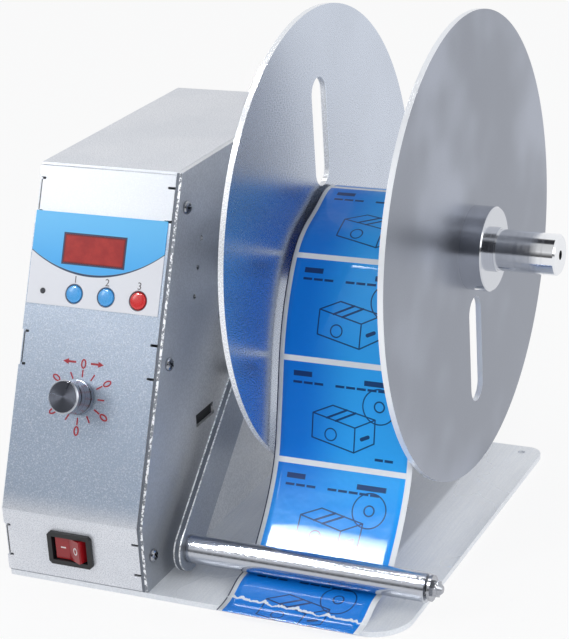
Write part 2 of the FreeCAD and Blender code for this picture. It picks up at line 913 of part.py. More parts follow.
def control_board():
    """Circuit board behind the overlay with its key switches, connectors and control chip."""
    board = block((board_left, board_low, "-board_depth - board_thickness"), ("board_width", "board_length", "board_thickness"))
    pieces = [board]
    for number in range(3):
        corner = (f"{button_x(number)} - 3", "button_along - 3", "-board_depth")
        pieces.append(block(corner, (6, 6, 3.5)))
    back = "-board_depth - board_thickness"
    pieces.append(block((f"{board_left} + 12", f"{board_low} + 28", f"{back} - 3"), (14, 10, 3)))
    for step in range(3):
        pieces.append(block((f"{board_left} + {34 + step * 11}", f"{board_low} + 6", f"{back} - 7"), (9, 6, 7)))
    holes = [rod("z", 1.5, (x, y, f"{back} - 1"), "board_thickness + 2") for x, y in board_posts]
    return keep("control_board", on_slope(cut(fuse(pieces), holes)))


def board_standoffs():
    length = "board_depth - sheet_thickness"
    posts = []
    for x, y in board_posts:
        post = rod("z", "standoff_radius", (x, y, "-board_depth"), length)
        stud = rod("z", 1.5, (x, y, "-board_depth - board_thickness - 2"), "board_thickness + 3")
        posts.append(fuse([post, stud]))
    return keep("board_standoffs", on_slope(group(posts)))


def indicator_led():
    lens = rod("z", "led_radius", (led_x, "button_along", "-board_depth + 0.5"), "board_depth + overlay_thickness - 0.3")
    seat = rod("z", "led_radius + 0.4", (led_x, "button_along", "-board_depth"), 2)
    return keep("indicator_led", on_slope(fuse([lens, seat])))


def push_button(number):
    """A domed cap over a key switch. It has a collar under the panel that keeps it in."""
    x = button_x(number)
    spot = (x, "button_along")
    stem_low = "-board_depth + 3.5 + button_travel + 0.2"
    stem = rod("z", 2, (*spot, stem_low), f"-sheet_thickness - 1.5 - ({stem_low})")
    collar = rod("z", "button_radius + 1", (*spot, "-sheet_thickness - 1.5"), 1.3)
    skirt = rod("z", "button_radius", (*spot, "-sheet_thickness - 0.5"), "sheet_thickness + 0.5 + button_rise * 0.55")
    dome = cone("z", "button_radius", "button_radius * 0.72", (*spot, "button_rise * 0.55"), "button_rise * 0.45")
    return keep(f"button_{number + 1}", on_slope(fuse([stem, collar, skirt, dome])))


def speed_dial():
    """Potentiometer, its nut and shaft, and the knob."""
    spot = ("knob_across", "knob_along")
    below = "-sheet_thickness - dial_body_depth"
    can = rod("z", "dial_body_radius", (*spot, below), "dial_body_depth")
    bush = rod("z", "dial_bush_radius", (*spot, "-sheet_thickness - 1"), "sheet_thickness + 4")
    pins = [
        block((f"knob_across - 6 + {5 * pin}", "knob_along - dial_body_radius - 5", f"{below} + 2"), (2, 9, 1))
        for pin in range(3)
    ]
    shaft_way = rod("z", "dial_shaft_radius + running_clearance", (*spot, f"{below} + 3"), "dial_body_depth + 10")
    keep("potentiometer", on_slope(cut(fuse([can, bush] + pins), [shaft_way])))
    hexagon = doc.addObject("Part::Prism", "hexagon")
    hexagon.Polygon = 6
    bind(hexagon, {"Circumradius": "dial_bush_radius + 2", "Height": 2})
    place(hexagon, "knob_across", "knob_along", 0)
    nut_bore = rod("z", "dial_bush_radius", (*spot, -1), 4)
    keep("potentiometer_nut", on_slope(cut(hexagon, [nut_bore])))
    shaft_end = "knob_lift + knob_length - knob_cap"
    stem = rod("z", "dial_shaft_radius", (*spot, f"{below} + 3.5"), f"{shaft_end} - ({below} + 3.5)")
    keep("dial_shaft", on_slope(stem))
    foot, top, wide = "knob_lift", "knob_lift + knob_length", "knob_radius"
    hollow, hollow_end = "dial_bush_radius + 3", "knob_lift + 3.5"
    grip = turned_on_slope([
        (hollow, foot), (wide, foot), (wide, f"{foot} + 2.8"), (f"{wide} - 0.5", f"{foot} + 3"),
        (f"{wide} - 0.5", f"{foot} + 3.5"), (f"{wide} - 0.2", f"{foot} + 3.7"), (f"{wide} - 0.2", f"{top} - 4.4"),
        (f"{wide} - 0.8", f"{top} - 4.1"), (f"{wide} - 0.8", f"{top} - 3.5"), (f"{wide} - 0.1", f"{top} - 3.2"),
        (f"{wide} - 0.1", f"{top} - 0.8"), (f"{wide} - 0.9", top), (0, top), (0, shaft_end),
        ("dial_shaft_radius", shaft_end), ("dial_shaft_radius", hollow_end), (hollow, hollow_end),
    ], *spot)
    pointer = block((0, 0, 0), (0.7, "knob_radius", 2))
    pointer.Placement = Placement(Vector(), Rotation(Vector(0, 0, 1), 45))
    turn = "(pointer_angle)"
    across = f"knob_across + knob_radius * 0.45 * sin{turn} - 0.35 * cos{turn}"
    along = f"knob_along + knob_radius * 0.45 * cos{turn} + 0.35 * sin{turn}"
    place(pointer, across, along, f"{top} - 0.6")
    bind(pointer, {"Placement.Rotation.Angle": "-pointer_angle"})
    keep("speed_knob", on_slope(cut(grip, [pointer])))


# Rocker switch in the lower face
def switch_block(margin, low, depth):
    """A block centred on the switch. low is measured outwards from the lower face."""
    corner = (
        f"switch_x - switch_width / 2 + {margin}",
        f"front_face - ({low}) - ({depth})",
        f"switch_z - switch_tall / 2 + {margin}",
    )
    return block(corner, (f"switch_width - 2 * {margin}", depth, f"switch_tall - 2 * {margin}"))


def switch_frame():
    bezel = switch_block("0", "0", "switch_rise")
    clipped = doc.addObject("Part::Chamfer", "bezel")
    doc.recompute()
    clipped.Base = bezel
    corners = [i for i, edge in enumerate(bezel.Shape.Edges, 1) if edge.BoundBox.YLength > size("switch_rise") * 0.9]
    clipped.Edges = [(i, 1.6, 1.6) for i in corners]
    case = switch_block("1.35", "-switch_depth", "switch_depth + 0.5")
    well = switch_block("switch_rim", "-9", "14")
    pin_way = rod(
        "z", "rocker_pin_radius + running_clearance",
        ("switch_x", "front_face + rocker_pivot_depth", "switch_z - rocker_height / 2 - 1.2"),
        "rocker_height + 2.4",
    )
    blades = [
        block((f"switch_x - 0.4 + {8 * blade}", "front_face + switch_depth", "switch_z - 3"), (0.8, 6, 6))
        for blade in (-1, 0, 1)
    ]
    return keep("switch_frame", cut(fuse([clipped, case] + blades), [well, pin_way]))


def switch_rocker():
    """A rocker with two faces in a shallow V, drawn with its left end pressed in."""
    reach, tilt = size("rocker_half_length"), math.radians(size("rocker_tilt"))
    crown = 4.4
    end_rise = crown + reach * math.tan(tilt)
    outline = [
        (-reach, end_rise), (0, crown), (reach, end_rise), (reach + 1.2, 0.8), (3.2, -3.4), (-3.2, -3.4),
        (-reach - 1.2, 0.8),
    ]
    turned_outline = [
        Vector(
            u * math.cos(tilt) - w * math.sin(tilt),
            -(u * math.sin(tilt) + w * math.cos(tilt)),
            -size("rocker_height") / 2,
        )
        for u, w in outline
    ]
    face = Part.Face(Part.makePolygon(turned_outline + turned_outline[:1]))
    solid = face.extrude(Vector(0, 0, size("rocker_height")))
    pins = Part.makeCylinder(
        size("rocker_pin_radius"), size("rocker_height") + 2,
        Vector(0, 0, -size("rocker_height") / 2 - 1),
    )
    rocker = solid_of("switch_rocker", solid.fuse(pins).removeSplitter())
    place(rocker, "switch_x", "front_face + rocker_pivot_depth", "switch_z")
    return keep("switch_rocker", rocker)


# Bearing housing, bearings and their screws
def bearing_housing():
    bore, wall = "bearing_radius", "bearing_radius + housing_wall"
    land = "bearing_radius - 3.5"
    outer_seat = "housing_end - 1 - bearing_width"
    inner_seat = "spigot_end + 1 + bearing_width"
    owner = turned("bearing_housing", [
        ("spigot_end", bore), (inner_seat, bore), (inner_seat, land), (outer_seat, land),
        (outer_seat, bore), ("housing_end", bore), ("housing_end", "housing_boss_radius - 1"),
        ("housing_end - 1", "housing_boss_radius"),
        ("plate_face + housing_flange_thickness", "housing_boss_radius"),
        ("plate_face + housing_flange_thickness", "housing_flange_radius"),
        ("plate_face", "housing_flange_radius"), ("plate_face", wall), ("spigot_end", wall),
    ], "spindle_y", "spindle_height")
    spot = ("housing_screw_circle * cos(45)", "housing_screw_circle * sin(45)")
    hole = holes_along_x(owner, [(*spot, "panel_screw_radius + screw_hole_clearance")])
    polar_pattern(owner, hole, 4)
    return owner


def housing_screws():
    face = "plate_face + housing_flange_thickness"
    screws = [pan_screw(1, face, y, z, "housing_flange_thickness + 4.5") for y, z in housing_screw_spots()]
    return keep("housing_screws", group(screws))


def bearing_outline(start, width, bore, outer):
    """A shielded ball bearing in section, with a shallow step between its two rings."""
    inner_edge, outer_edge = f"{bore} + ({outer} - {bore}) * 0.26", f"{outer} - ({outer} - {bore}) * 0.22"
    end = f"{start} + {width}"
    return [
        (start, bore), (end, bore), (end, inner_edge), (f"{end} - 0.5", inner_edge),
        (f"{end} - 0.5", outer_edge), (end, outer_edge), (end, outer), (start, outer),
        (start, outer_edge), (f"{start} + 0.5", outer_edge), (f"{start} + 0.5", inner_edge), (start, inner_edge),
    ]


def bearing_pair(node, starts, width, bore, outer, y, z):
    solids = []
    for start in starts:
        owner = doc.addObject("PartDesign::Body", "bearing")
        profile = sketch(owner, "XZ_Plane")
        polygon(profile, bearing_outline(start, width, bore, outer))
        revolve(owner, profile, "X_Axis")
        place(owner, 0, y, z)
        solids.append(owner)
    return keep(node, group(solids))


# Spindle and what turns with it
def spindle_shaft():
    shoulder = "housing_end - 0.7"
    owner = turned("spindle_shaft", [
        ("gear_back - 3", 0), ("spindle_end", 0), ("spindle_end", "spindle_radius - 1"),
        ("spindle_end - 1", "spindle_radius"), (shoulder, "spindle_radius"), (shoulder, "journal_radius"),
        ("journal_start", "journal_radius"), ("journal_start", "gear_seat_radius"),
        ("gear_back", "gear_seat_radius"), ("gear_back", "gear_seat_radius - 0.8"),
        ("gear_back - ring_thickness", "gear_seat_radius - 0.8"),
        ("gear_back - ring_thickness", "gear_seat_radius"), ("gear_back - 3", "gear_seat_radius"),
    ], "spindle_y", "spindle_height")
    shaft = parts.pop("spindle_shaft")
    shaft.Label = "shaft_blank"
    mouth = ("spindle_end - end_hole_depth", "spindle_y", "spindle_height")
    drill = rod("x", "end_hole_radius", mouth, "end_hole_depth + 1")
    tip = cone("x", 0, "end_hole_radius", ("spindle_end - end_hole_depth - 1.5", "spindle_y", "spindle_height"), 1.5)
    return keep("spindle_shaft", cut(owner, [drill, tip]))


def slot_tool(direction, x):
    """Round ended slot through a disc, above the axis (1) or below it (-1)."""
    half = "slot_width / 2"
    low = "slot_inner_end + slot_width / 2" if direction > 0 else "-slot_outer_end + slot_width / 2"
    high = "slot_outer_end - slot_width / 2" if direction > 0 else "-slot_inner_end - slot_width / 2"
    span = "slot_outer_end - slot_inner_end - slot_width"
    thick = "disc_thickness + 2"
    middle = block((f"{x} - 1", f"spindle_y - {half}", f"spindle_height + {low}"), (thick, "slot_width", span))
    ends = [rod("x", half, (f"{x} - 1", "spindle_y", f"spindle_height + {end}"), thick) for end in (low, high)]
    return fuse([middle] + ends)


def disc(node, start, bore, screw_face, direction):
    """A flat disc with its slot. The screw heads are sunk in the face that looks at the roll."""
    plate = rod("x", "disc_radius", (start, "spindle_y", "spindle_height"), "disc_thickness")
    tools = [rod("x", bore, (f"{start} - 1", "spindle_y", "spindle_height"), "disc_thickness + 2")]
    tools.append(slot_tool(direction, start))
    for y, z in disc_screw_spots():
        tools.append(rod("x", "disc_screw_radius + screw_hole_clearance", (f"{start} - 1", y, z), "disc_thickness + 2"))
        wide, narrow = "disc_screw_head_radius + screw_hole_clearance", "disc_screw_radius + screw_hole_clearance"
        if screw_face > 0:
            tools.append(cone("x", narrow, wide, (f"{start} + disc_thickness - 2", y, z), 2))
        else:
            tools.append(cone("x", wide, narrow, (start, y, z), 2))
    return keep(node, cut(plate, tools))


def disc_screw_spots():
    spots = []
    for third in range(3):
        angle = 90 + 120 * third
        spots.append((
            f"spindle_y + disc_screw_circle * cos({angle})",
            f"spindle_height + disc_screw_circle * sin({angle})",
        ))
    return spots


def disc_screws(node, face, screw_face):
    """Sunk screws that hold a disc on its hub."""
    screws = []
    for y, z in disc_screw_spots():
        if screw_face > 0:
            head = cone("x", "disc_screw_radius", "disc_screw_head_radius", (f"{face} - 2", y, z), 2)
            shank = rod("x", "disc_screw_radius", (f"{face} - 9", y, z), 9)
        else:
            head = cone("x", "disc_screw_head_radius", "disc_screw_radius", (face, y, z), 2)
            shank = rod("x", "disc_screw_radius", (face, y, z), 9)
        screws.append(fuse([head, shank]))
    return keep(node, group(screws))


def hub(node, outline, screw_x, screw_start):
    """A turned hub with its radial set screw hole below the axis and the disc's tapped holes."""
    owner = turned(node, outline, "spindle_y", "spindle_height")
    blank = parts.pop(node)
    blank.Label = node + "_blank"
    bottom = ("spindle_height - hub_radius - 1")
    radial = rod("z", "set_screw_radius", (screw_x, "spindle_y", bottom), "hub_radius - 5")
    taps = [rod("x", "disc_screw_radius", (screw_start, y, z), 7) for y, z in disc_screw_spots()]
    return keep(node, cut(owner, [radial] + taps))


def set_screw(node, x, bore):
    """Socket set screw below the axis, its tip just off the spindle."""
    start = "spindle_height - hub_radius + 1"
    length = f"hub_radius - 1 - {bore} - 0.1"
    stud = rod("z", "set_screw_radius", (x, "spindle_y", start), length)
    socket = doc.addObject("Part::Prism", "socket")
    socket.Polygon = 6
    bind(socket, {"Circumradius": "set_screw_radius * 0.55", "Height": 3})
    place(socket, x, "spindle_y", f"{start} - 0.5")
    return keep(node, cut(stud, [socket]))


def spindle_group():
    spindle_shaft()
    inner_bore = "spindle_radius"
    disc("inner_disc", "disc_back", inner_bore, 1, 1)
    hub_start = "disc_back - inner_hub_length"
    hub("inner_hub", [
        (hub_start, inner_bore), ("disc_back", inner_bore), ("disc_back", "hub_radius"),
        (f"{hub_start} + 1", "hub_radius"), (hub_start, "hub_radius - 1"),
    ], "disc_back - inner_hub_length / 2", "disc_back - 6.5")
    disc_screws("inner_disc_screws", "disc_front", 1)
    set_screw("inner_set_screw", "disc_back - inner_hub_length / 2", inner_bore)
    web_end = "web_start + web_width"
    bore = "spindle_radius + core_clearance"
    turned("core_tube", ring(bore, "core_radius", "web_start", web_end), "spindle_y", "spindle_height")
    turned("label_roll", ring("core_radius", "roll_radius", "web_start", web_end), "spindle_y", "spindle_height")
    retaining_ring()


def retaining_ring():
    """Open snap ring in the groove behind the drive gear."""
    spot = ("gear_back - ring_thickness", "spindle_y", "spindle_height")
    outer = rod("x", "gear_seat_radius + 2", spot, "ring_thickness")
    bore = rod("x", "gear_seat_radius - 0.8", (f"{spot[0]} - 1", *spot[1:]), "ring_thickness + 2")
    gap = block((f"{spot[0]} - 1", "spindle_y - 3", "spindle_height"), ("ring_thickness + 2", 6, "gear_seat_radius + 5"))
    return keep("gear_retaining_ring", cut(outer, [bore, gap]))


# Spur gears with involute teeth
def involute(angle):
    return math.tan(angle) - angle


def gear_outline(teeth, phase):
    """Closed outline of a spur gear in the YZ plane. One tooth is centred on the phase angle."""
    module = size("gear_module")
    pressure = math.radians(20)
    pitch = module * teeth / 2
    base = pitch * math.cos(pressure)
    tip = pitch + 0.95 * module
    root = pitch - 1.25 * module
    start = max(base, root)
    half = math.pi / (2 * teeth) - size("gear_backlash") / (4 * pitch)
    radii = [start, (start + tip) / 2, tip]
    spread = [half + involute(pressure) - involute(math.acos(min(1, base / radius))) for radius in radii]

    def point(radius, angle):
        return Vector(0, radius * math.cos(angle), radius * math.sin(angle))

    edges = []
    for tooth in range(teeth):
        middle = phase + 2 * math.pi * tooth / teeth
        following = middle + 2 * math.pi / teeth
        rising = [point(radius, middle - angle) for radius, angle in zip(radii, spread)]
        falling = [point(radius, middle + angle) for radius, angle in zip(reversed(radii), reversed(spread))]
        foot_left, foot_right = point(root, middle + spread[0]), point(root, following - spread[0])
        for flank in (rising, falling):
            edges.append(Part.Arc(*flank).toShape())
            if flank is rising:
                edges.append(Part.Arc(rising[-1], point(tip, middle), falling[0]).toShape())
        if start > root + 0.01:
            edges.append(Part.LineSegment(falling[-1], foot_left).toShape())
        valley = point(root, (middle + following) / 2)
        edges.append(Part.Arc(foot_left, valley, foot_right).toShape())
        if start > root + 0.01:
            edges.append(Part.LineSegment(foot_right, point(start, following - spread[0])).toShape())
    return Part.Wire(Part.__sortEdges__(edges))


def gear_solid(teeth, phase, start, width, bore):
    wheel = Part.Face(gear_outline(teeth, phase)).extrude(Vector(width, 0, 0))
    wheel.translate(Vector(start, 0, 0))
    hole = Part.makeCylinder(bore, width + 2, Vector(start - 1, 0, 0), Vector(1, 0, 0))
    return wheel.cut(hole)


def drive_gears():
    """The spindle's wheel with six lightening holes, and the motor's pinion in mesh below it."""
    teeth, pinion_teeth = round(size("gear_teeth")), round(size("pinion_teeth"))
    seat = size("gear_seat_radius")
    wheel = gear_solid(teeth, -math.pi / 2, size("gear_back"), size("gear_width"), seat)
    hub_end = size("journal_start")
    collar = Part.makeCylinder(size("gear_hub_radius"), size("gear_hub_length"), Vector(size("gear_face"), 0, 0), Vector(1, 0, 0))
    collar = collar.cut(Part.makeCylinder(seat, size("gear_hub_length") + 2, Vector(size("gear_face") - 1, 0, 0), Vector(1, 0, 0)))
    rim = size("gear_module") * teeth / 2 - 1.25 * size("gear_module")
    circle_radius = (rim + size("gear_hub_radius")) / 2
    hole_radius = (rim - size("gear_hub_radius")) * 0.34
    for sixth in range(6):
        angle = math.pi / 3 * (sixth + 0.5)
        middle = Vector(size("gear_back") - 1, circle_radius * math.cos(angle), circle_radius * math.sin(angle))
        wheel = wheel.cut(Part.makeCylinder(hole_radius, size("gear_width") + 2, middle, Vector(1, 0, 0)))
    if collar.BoundBox.XMax > hub_end + 0.01:
        raise ValueError("the gear's hub is longer than its room on the spindle")
    gear = solid_of("drive_gear", wheel.fuse(collar).removeSplitter())
    keep("drive_gear", place(gear, 0, "spindle_y", "spindle_height"))
    phase = math.pi / 2 + math.pi / pinion_teeth
    pinion = gear_solid(pinion_teeth, phase, size("gear_back") - 0.5, size("gear_width") + 1, size("motor_shaft_radius"))
    keep("drive_pinion", place(solid_of("drive_pinion", pinion), 0, "spindle_y", "motor_height"))


# Gear motor, its shaft and bracket
def gear_motor():
    back = "motor_face - gearbox_length"
    rear = f"{back} - motor_length"
    shaft = "motor_shaft_radius + running_clearance"
    deep = "motor_face - 8"
    return turned("gear_motor", [
        (deep, 0), (deep, shaft), ("motor_face + 3.5", shaft), ("motor_face + 3.5", 6), ("motor_face", 6),
        ("motor_face", "gearbox_radius"), (back, "gearbox_radius"), (back, "motor_radius"),
        (f"{rear} + 2", "motor_radius"), (rear, "motor_radius - 2"), (rear, 6.5), (f"{rear} - 2.5", 6.5), (f"{rear} - 2.5", 0),
    ], "spindle_y", "motor_height")


def motor_shaft():
    return turned("motor_shaft", [
        ("motor_face - 7.5", 0), ("gear_face + 1.5", 0), ("gear_face + 1.5", "motor_shaft_radius - 0.4"),
        ("gear_face + 1.1", "motor_shaft_radius"), ("motor_face - 7.5", "motor_shaft_radius"),
    ], "spindle_y", "motor_height")


gearbox_screw_spots = [
    (f"spindle_y + 15.5 * cos({angle})", f"motor_height + 15.5 * sin({angle})") for angle in (30, 90, 150, 210, 270, 330)
]


def motor_bracket():
    low = "motor_height - lower_post_drop - (bracket_tall - upper_post_rise - lower_post_drop) / 2"
    plate = block(
        ("motor_face", "spindle_y - bracket_width / 2", low),
        ("bracket_thickness", "bracket_width", "bracket_tall"),
    )
    tools = [rod("x", 6.1, ("motor_face - 1", "spindle_y", "motor_height"), "bracket_thickness + 2")]
    screw = "panel_screw_radius + screw_hole_clearance"
    for y, z in post_spots:
        tools.append(rod("x", screw, ("motor_face - 1", y, z), "bracket_thickness + 2"))
    for y, z in gearbox_screw_spots:
        tools.append(rod("x", 1.6, ("motor_face - 1", y, z), "bracket_thickness + 2"))
    return keep("motor_bracket", cut(plate, tools))


def bracket_posts():
    posts = []
    for y, z in post_spots:
        post = rod("x", "bracket_post_radius", ("bracket_face", y, z), "bracket_standoff")
        posts.append(cut(post, [rod("x", "panel_screw_radius", ("bracket_face - 1", y, z), "bracket_standoff + 2")]))
    return keep("bracket_posts", group(posts))


def motor_screws():
    """Screws that hold the posts to the plate and the bracket, and the gearbox to the bracket."""
    screws = []
    for y, z in post_spots:
        screws.append(pan_screw(1, "plate_face", y, z, "panel_screw_length"))
        screws.append(pan_screw(-1, "motor_face", y, z, "panel_screw_length"))
    for y, z in gearbox_screw_spots:
        head = rod("x", 2.6, ("bracket_face", y, z), 1.6)
        shank = rod("x", 1.5, ("motor_face - 4", y, z), "bracket_thickness + 4")
        screws.append(fuse([head, shank]))
    return keep("motor_screws", group(screws))


def drill_gearbox():
    """Tapped holes for the gearbox screws in the motor's front face."""
    blank = parts.pop("gear_motor")
    blank.Label = "motor_blank"
    taps = [rod("x", 1.5, ("motor_face - 5", y, z), 6) for y, z in gearbox_screw_spots]
    return keep("gear_motor", cut(blank, taps))


# Swing arm, its pivot and stops
def arm_piece(x, length, radius_far):
    """A bar along the arm's own Y axis, from the pivot to the roller."""
    half = "arm_width / 2"
    bar = block((x, 0, f"-{half}"), (length, "arm_reach", "arm_width"))
    near = rod("x", half, (x, 0, 0), length)
    far = rod("x", radius_far, (x, "arm_reach", 0), length)
    return fuse([bar, near, far])


def along_arm(item):
    """Turns a piece from the arm's own frame: y runs from the pivot to the roller."""
    item.Placement = Placement(Vector(), Rotation(Vector(1, 0, 0), 45))
    place(item, 0, "pivot_y", "arm_pivot_height")
    return bind(item, {"Placement.Rotation.Angle": "180 deg + arm_rest_angle"})


def swing_arm():
    bar = arm_piece("arm_inner", "arm_thickness", "arm_width / 2")
    tools = [
        rod("x", "pivot_bush_radius", ("arm_inner - 1", 0, 0), "arm_thickness + 2"),
        rod("x", "roller_axle_radius", ("arm_inner - 1", "arm_reach", 0), "arm_thickness + 2"),
    ]
    return keep("swing_arm", along_arm(cut(bar, tools)))


def arm_pivot():
    bore = "pivot_pin_radius + running_clearance"
    inner_end = "plate_face + 1.3"
    turned("arm_bush", [
        (inner_end, bore), ("arm_outer", bore), ("arm_outer", "pivot_bush_radius"), ("arm_inner", "pivot_bush_radius"),
        ("arm_inner", "pivot_flange_radius"), (inner_end, "pivot_flange_radius"),
    ], "pivot_y", "arm_pivot_height")
    thread = "pivot_pin_radius * 0.6"
    turned("arm_pivot_pin", [
        ("plate_inner - 7", 0), ("arm_outer - 7", 0), ("arm_outer - 7", 2), ("arm_outer + 0.3", 2),
        ("arm_outer + 0.3", "pivot_pin_radius"), ("plate_face + 1", "pivot_pin_radius"),
        ("plate_face + 1", "pivot_bush_radius"), ("plate_face", "pivot_bush_radius"), ("plate_face", thread),
        ("plate_inner - 7", thread),
    ], "pivot_y", "arm_pivot_height")
    turned("arm_pivot_screw", [
        ("arm_outer - 6.5", 0), ("arm_outer + 4.3", 0), ("arm_outer + 4.3", 3.4), ("arm_outer + 3.3", 4.4),
        ("arm_outer + 1.5", 4.4), ("arm_outer + 1.5", "pivot_bush_radius"), ("arm_outer + 0.3", "pivot_bush_radius"),
        ("arm_outer + 0.3", 2), ("arm_outer - 6.5", 2),
    ], "pivot_y", "arm_pivot_height")
    nut = doc.addObject("Part::Prism", "nut")
    nut.Polygon = 6
    nut.Placement = Placement(Vector(), AXIS_TURNS["x"])
    bind(nut, {"Circumradius": "pivot_pin_radius * 1.15", "Height": 5})
    place(nut, "plate_inner - 5", "pivot_y", "arm_pivot_height")
    bore_tool = rod("x", thread, ("plate_inner - 6", "pivot_y", "arm_pivot_height"), 7)
    keep("arm_pivot_nut", cut(nut, [bore_tool]))


def arm_stop_pins():
    pins = []
    for y, z in stop_pin_spots:
        rivet = rod("x", "stop_pin_radius * 0.7", ("plate_inner - 1", y, z), "side_plate_thickness + 2")
        post = rod("x", "stop_pin_radius", ("plate_face", y, z), "arm_gap + arm_thickness + 1")
        pins.append(fuse([rivet, post]))
    return keep("arm_stop_pins", group(pins))


def arm_sensor():
    """Reflective sensor that looks at the back of the arm through the window."""
    y, z = "front_face + sensor_back", "base_thickness + sensor_height"
    lens = block(
        ("plate_inner - 1", f"{y} - sensor_width / 2 + 0.3", f"{z} - sensor_tall / 2 + 0.3"),
        ("side_plate_thickness - 0.6", "sensor_width - 0.6", "sensor_tall - 0.6"),
    )
    board = block(("plate_inner - 2.6", f"{y} - sensor_width / 2 - 5", f"{z} - 7"), (1.6, "sensor_width + 10", 14))
    posts = [
        rod("x", 2, ("plate_inner - 1", f"{y} {side} (sensor_width / 2 + 2.6)", z), 1) for side in "-+"
    ]
    return keep("arm_sensor", fuse([lens, board] + posts))


# Roller at the arm's free end
def roller_group():
    turned("roller_tube", ring("roller_bore", "roller_radius", "roller_left", "roller_right"), "roller_y", "roller_z")
    axle_hole = "roller_axle_radius + running_clearance"
    starts = ["roller_left + 1", "roller_right - 1 - roller_bearing_width"]
    bearing_pair("roller_bearings", starts, "roller_bearing_width", axle_hole, "roller_bore", "roller_y", "roller_z")
    axle = "roller_axle_radius"
    collar_end = "roller_right + 1.4"
    thread_end = f"{collar_end} + 1.4 + axle_nut_length - 1"
    turned("roller_axle", [
        ("arm_inner - 1.8", 0), (thread_end, 0), (thread_end, f"{axle} - 0.4"), (collar_end, f"{axle} - 0.4"),
        (collar_end, f"{axle} + 1.2"), ("roller_right + 0.3", f"{axle} + 1.2"), ("roller_right + 0.3", axle),
        ("arm_outer + 0.7", axle), ("arm_outer + 0.7", "roller_radius - 0.6"), ("arm_outer", "roller_radius - 0.6"),
        ("arm_outer", axle), ("arm_inner", axle), ("arm_inner", f"{axle} + 2.2"), ("arm_inner - 1.8", f"{axle} + 1.4"),
    ], "roller_y", "roller_z")
    thread = f"{axle} - 0.4"
    washer_end = f"{collar_end} + 1.4"
    turned("roller_washer", ring(thread, "roller_radius - 0.8", collar_end, washer_end), "roller_y", "roller_z")
    nut = doc.addObject("Part::Prism", "nut")
    nut.Polygon = 6
    nut.Placement = Placement(Vector(), AXIS_TURNS["x"])
    bind(nut, {"Circumradius": "axle_nut_radius", "Height": "axle_nut_length * 0.6"})
    place(nut, washer_end, "roller_y", "roller_z")
    cap_start = (f"{washer_end} + axle_nut_length * 0.6", "roller_y", "roller_z")
    cap = cone("x", "axle_nut_radius * 0.8", "axle_nut_radius * 0.4", cap_start, "axle_nut_length * 0.4")
    bore = rod("x", thread, (f"{washer_end} - 1", "roller_y", "roller_z"), "axle_nut_length")
    keep("axle_nut", cut(fuse([nut, cap]), [bore]))


# Power supply and mains inlet
def power_supply():
    """Open frame supply on four posts: board, transformer, two capacitors and a heat sink."""
    left, front, low = "wall_face + 13", "spindle_y - 50", "base_thickness"
    deck = "base_thickness + supply_post"
    seat = f"{deck} + board_thickness / 2"
    pieces = [block((left, front, deck), ("supply_width", "supply_depth", "board_thickness"))]
    core = ("supply_width * 0.62", "supply_depth / 3", "supply_tall * 1.15")
    pieces.append(block((f"{left} + supply_width * 0.19", f"{front} + supply_depth * 0.28", seat), core))
    sink = ("supply_width / 16", "supply_depth / 5", "supply_tall")
    pieces.append(block((f"{left} + supply_width / 13", f"{front} + supply_depth * 0.7", seat), sink))
    for share in (0.27, 0.65):
        spot = (f"{left} + supply_width * {share}", f"{front} + supply_depth / 7", seat)
        pieces.append(rod("z", "supply_can_radius", spot, "supply_tall"))
    for dx in ("supply_post_inset", "supply_width - supply_post_inset"):
        for dy in ("supply_post_inset", "supply_depth - supply_post_inset"):
            spot = (f"{left} + {dx}", f"{front} + {dy}", low)
            pieces.append(rod("z", "supply_post_inset * 0.85", spot, "supply_post + board_thickness / 3"))
    return keep("power_supply", fuse(pieces))


def inlet_block(margin, start, length):
    corner = (f"inlet_x - inlet_width / 2 - {margin}", start, f"base_thickness + inlet_height - inlet_tall / 2 - {margin}")
    return block(corner, (f"inlet_width + 2 * {margin}", length, f"inlet_tall + 2 * {margin}"))


def mains_inlet():
    """Three-pole mains inlet clipped in the rear wall. Its pins end below the rim."""
    case = inlet_block(0, "rear_face - inlet_depth", "inlet_depth")
    rim = inlet_block("inlet_rim", "rear_face", "inlet_rim")
    z = "base_thickness + inlet_height"
    cavity = block(
        ("inlet_x - inlet_cavity_width / 2", "rear_face - inlet_depth + 4", f"{z} - inlet_cavity_tall / 2"),
        ("inlet_cavity_width", "inlet_depth", "inlet_cavity_tall"),
    )
    shell = cut(fuse([case, rim]), [cavity])
    pins = []
    for dx, dz in ((-7, -2), (0, 2), (7, -2)):
        pins.append(block((f"inlet_x + {dx} - 1", "rear_face - inlet_depth + 3", f"{z} + {dz} - 2"), (2, 12, 4)))
        pins.append(block((f"inlet_x + {dx} - 2.4", "rear_face - inlet_depth - 7", f"{z} + {dz} - 0.4"), (4.8, 8, 0.8)))
    return keep("mains_inlet", fuse([shell] + pins))


# Web of the labels, from the front of the base to the roll
WEB_SPOTS = [
    ("spindle", -17.2, 21.6), ("spindle", -34.6, 14.8), ("spindle", -47, 5.8), ("spindle", -56.5, -7),
    ("spindle", -64.5, -22), ("spindle", -71, -40), ("spindle", -76.5, -62), ("spindle", -81, -80),
    ("roller", 44, 38), ("roller", 36.5, 24.5), ("roller", 26.5, 11.5), ("roller", 17, 1.5),
    ("roller", 8.5, -5.6),
]
WEB_ROLL_ANGLES = [20, 44, 68, 90, 100]


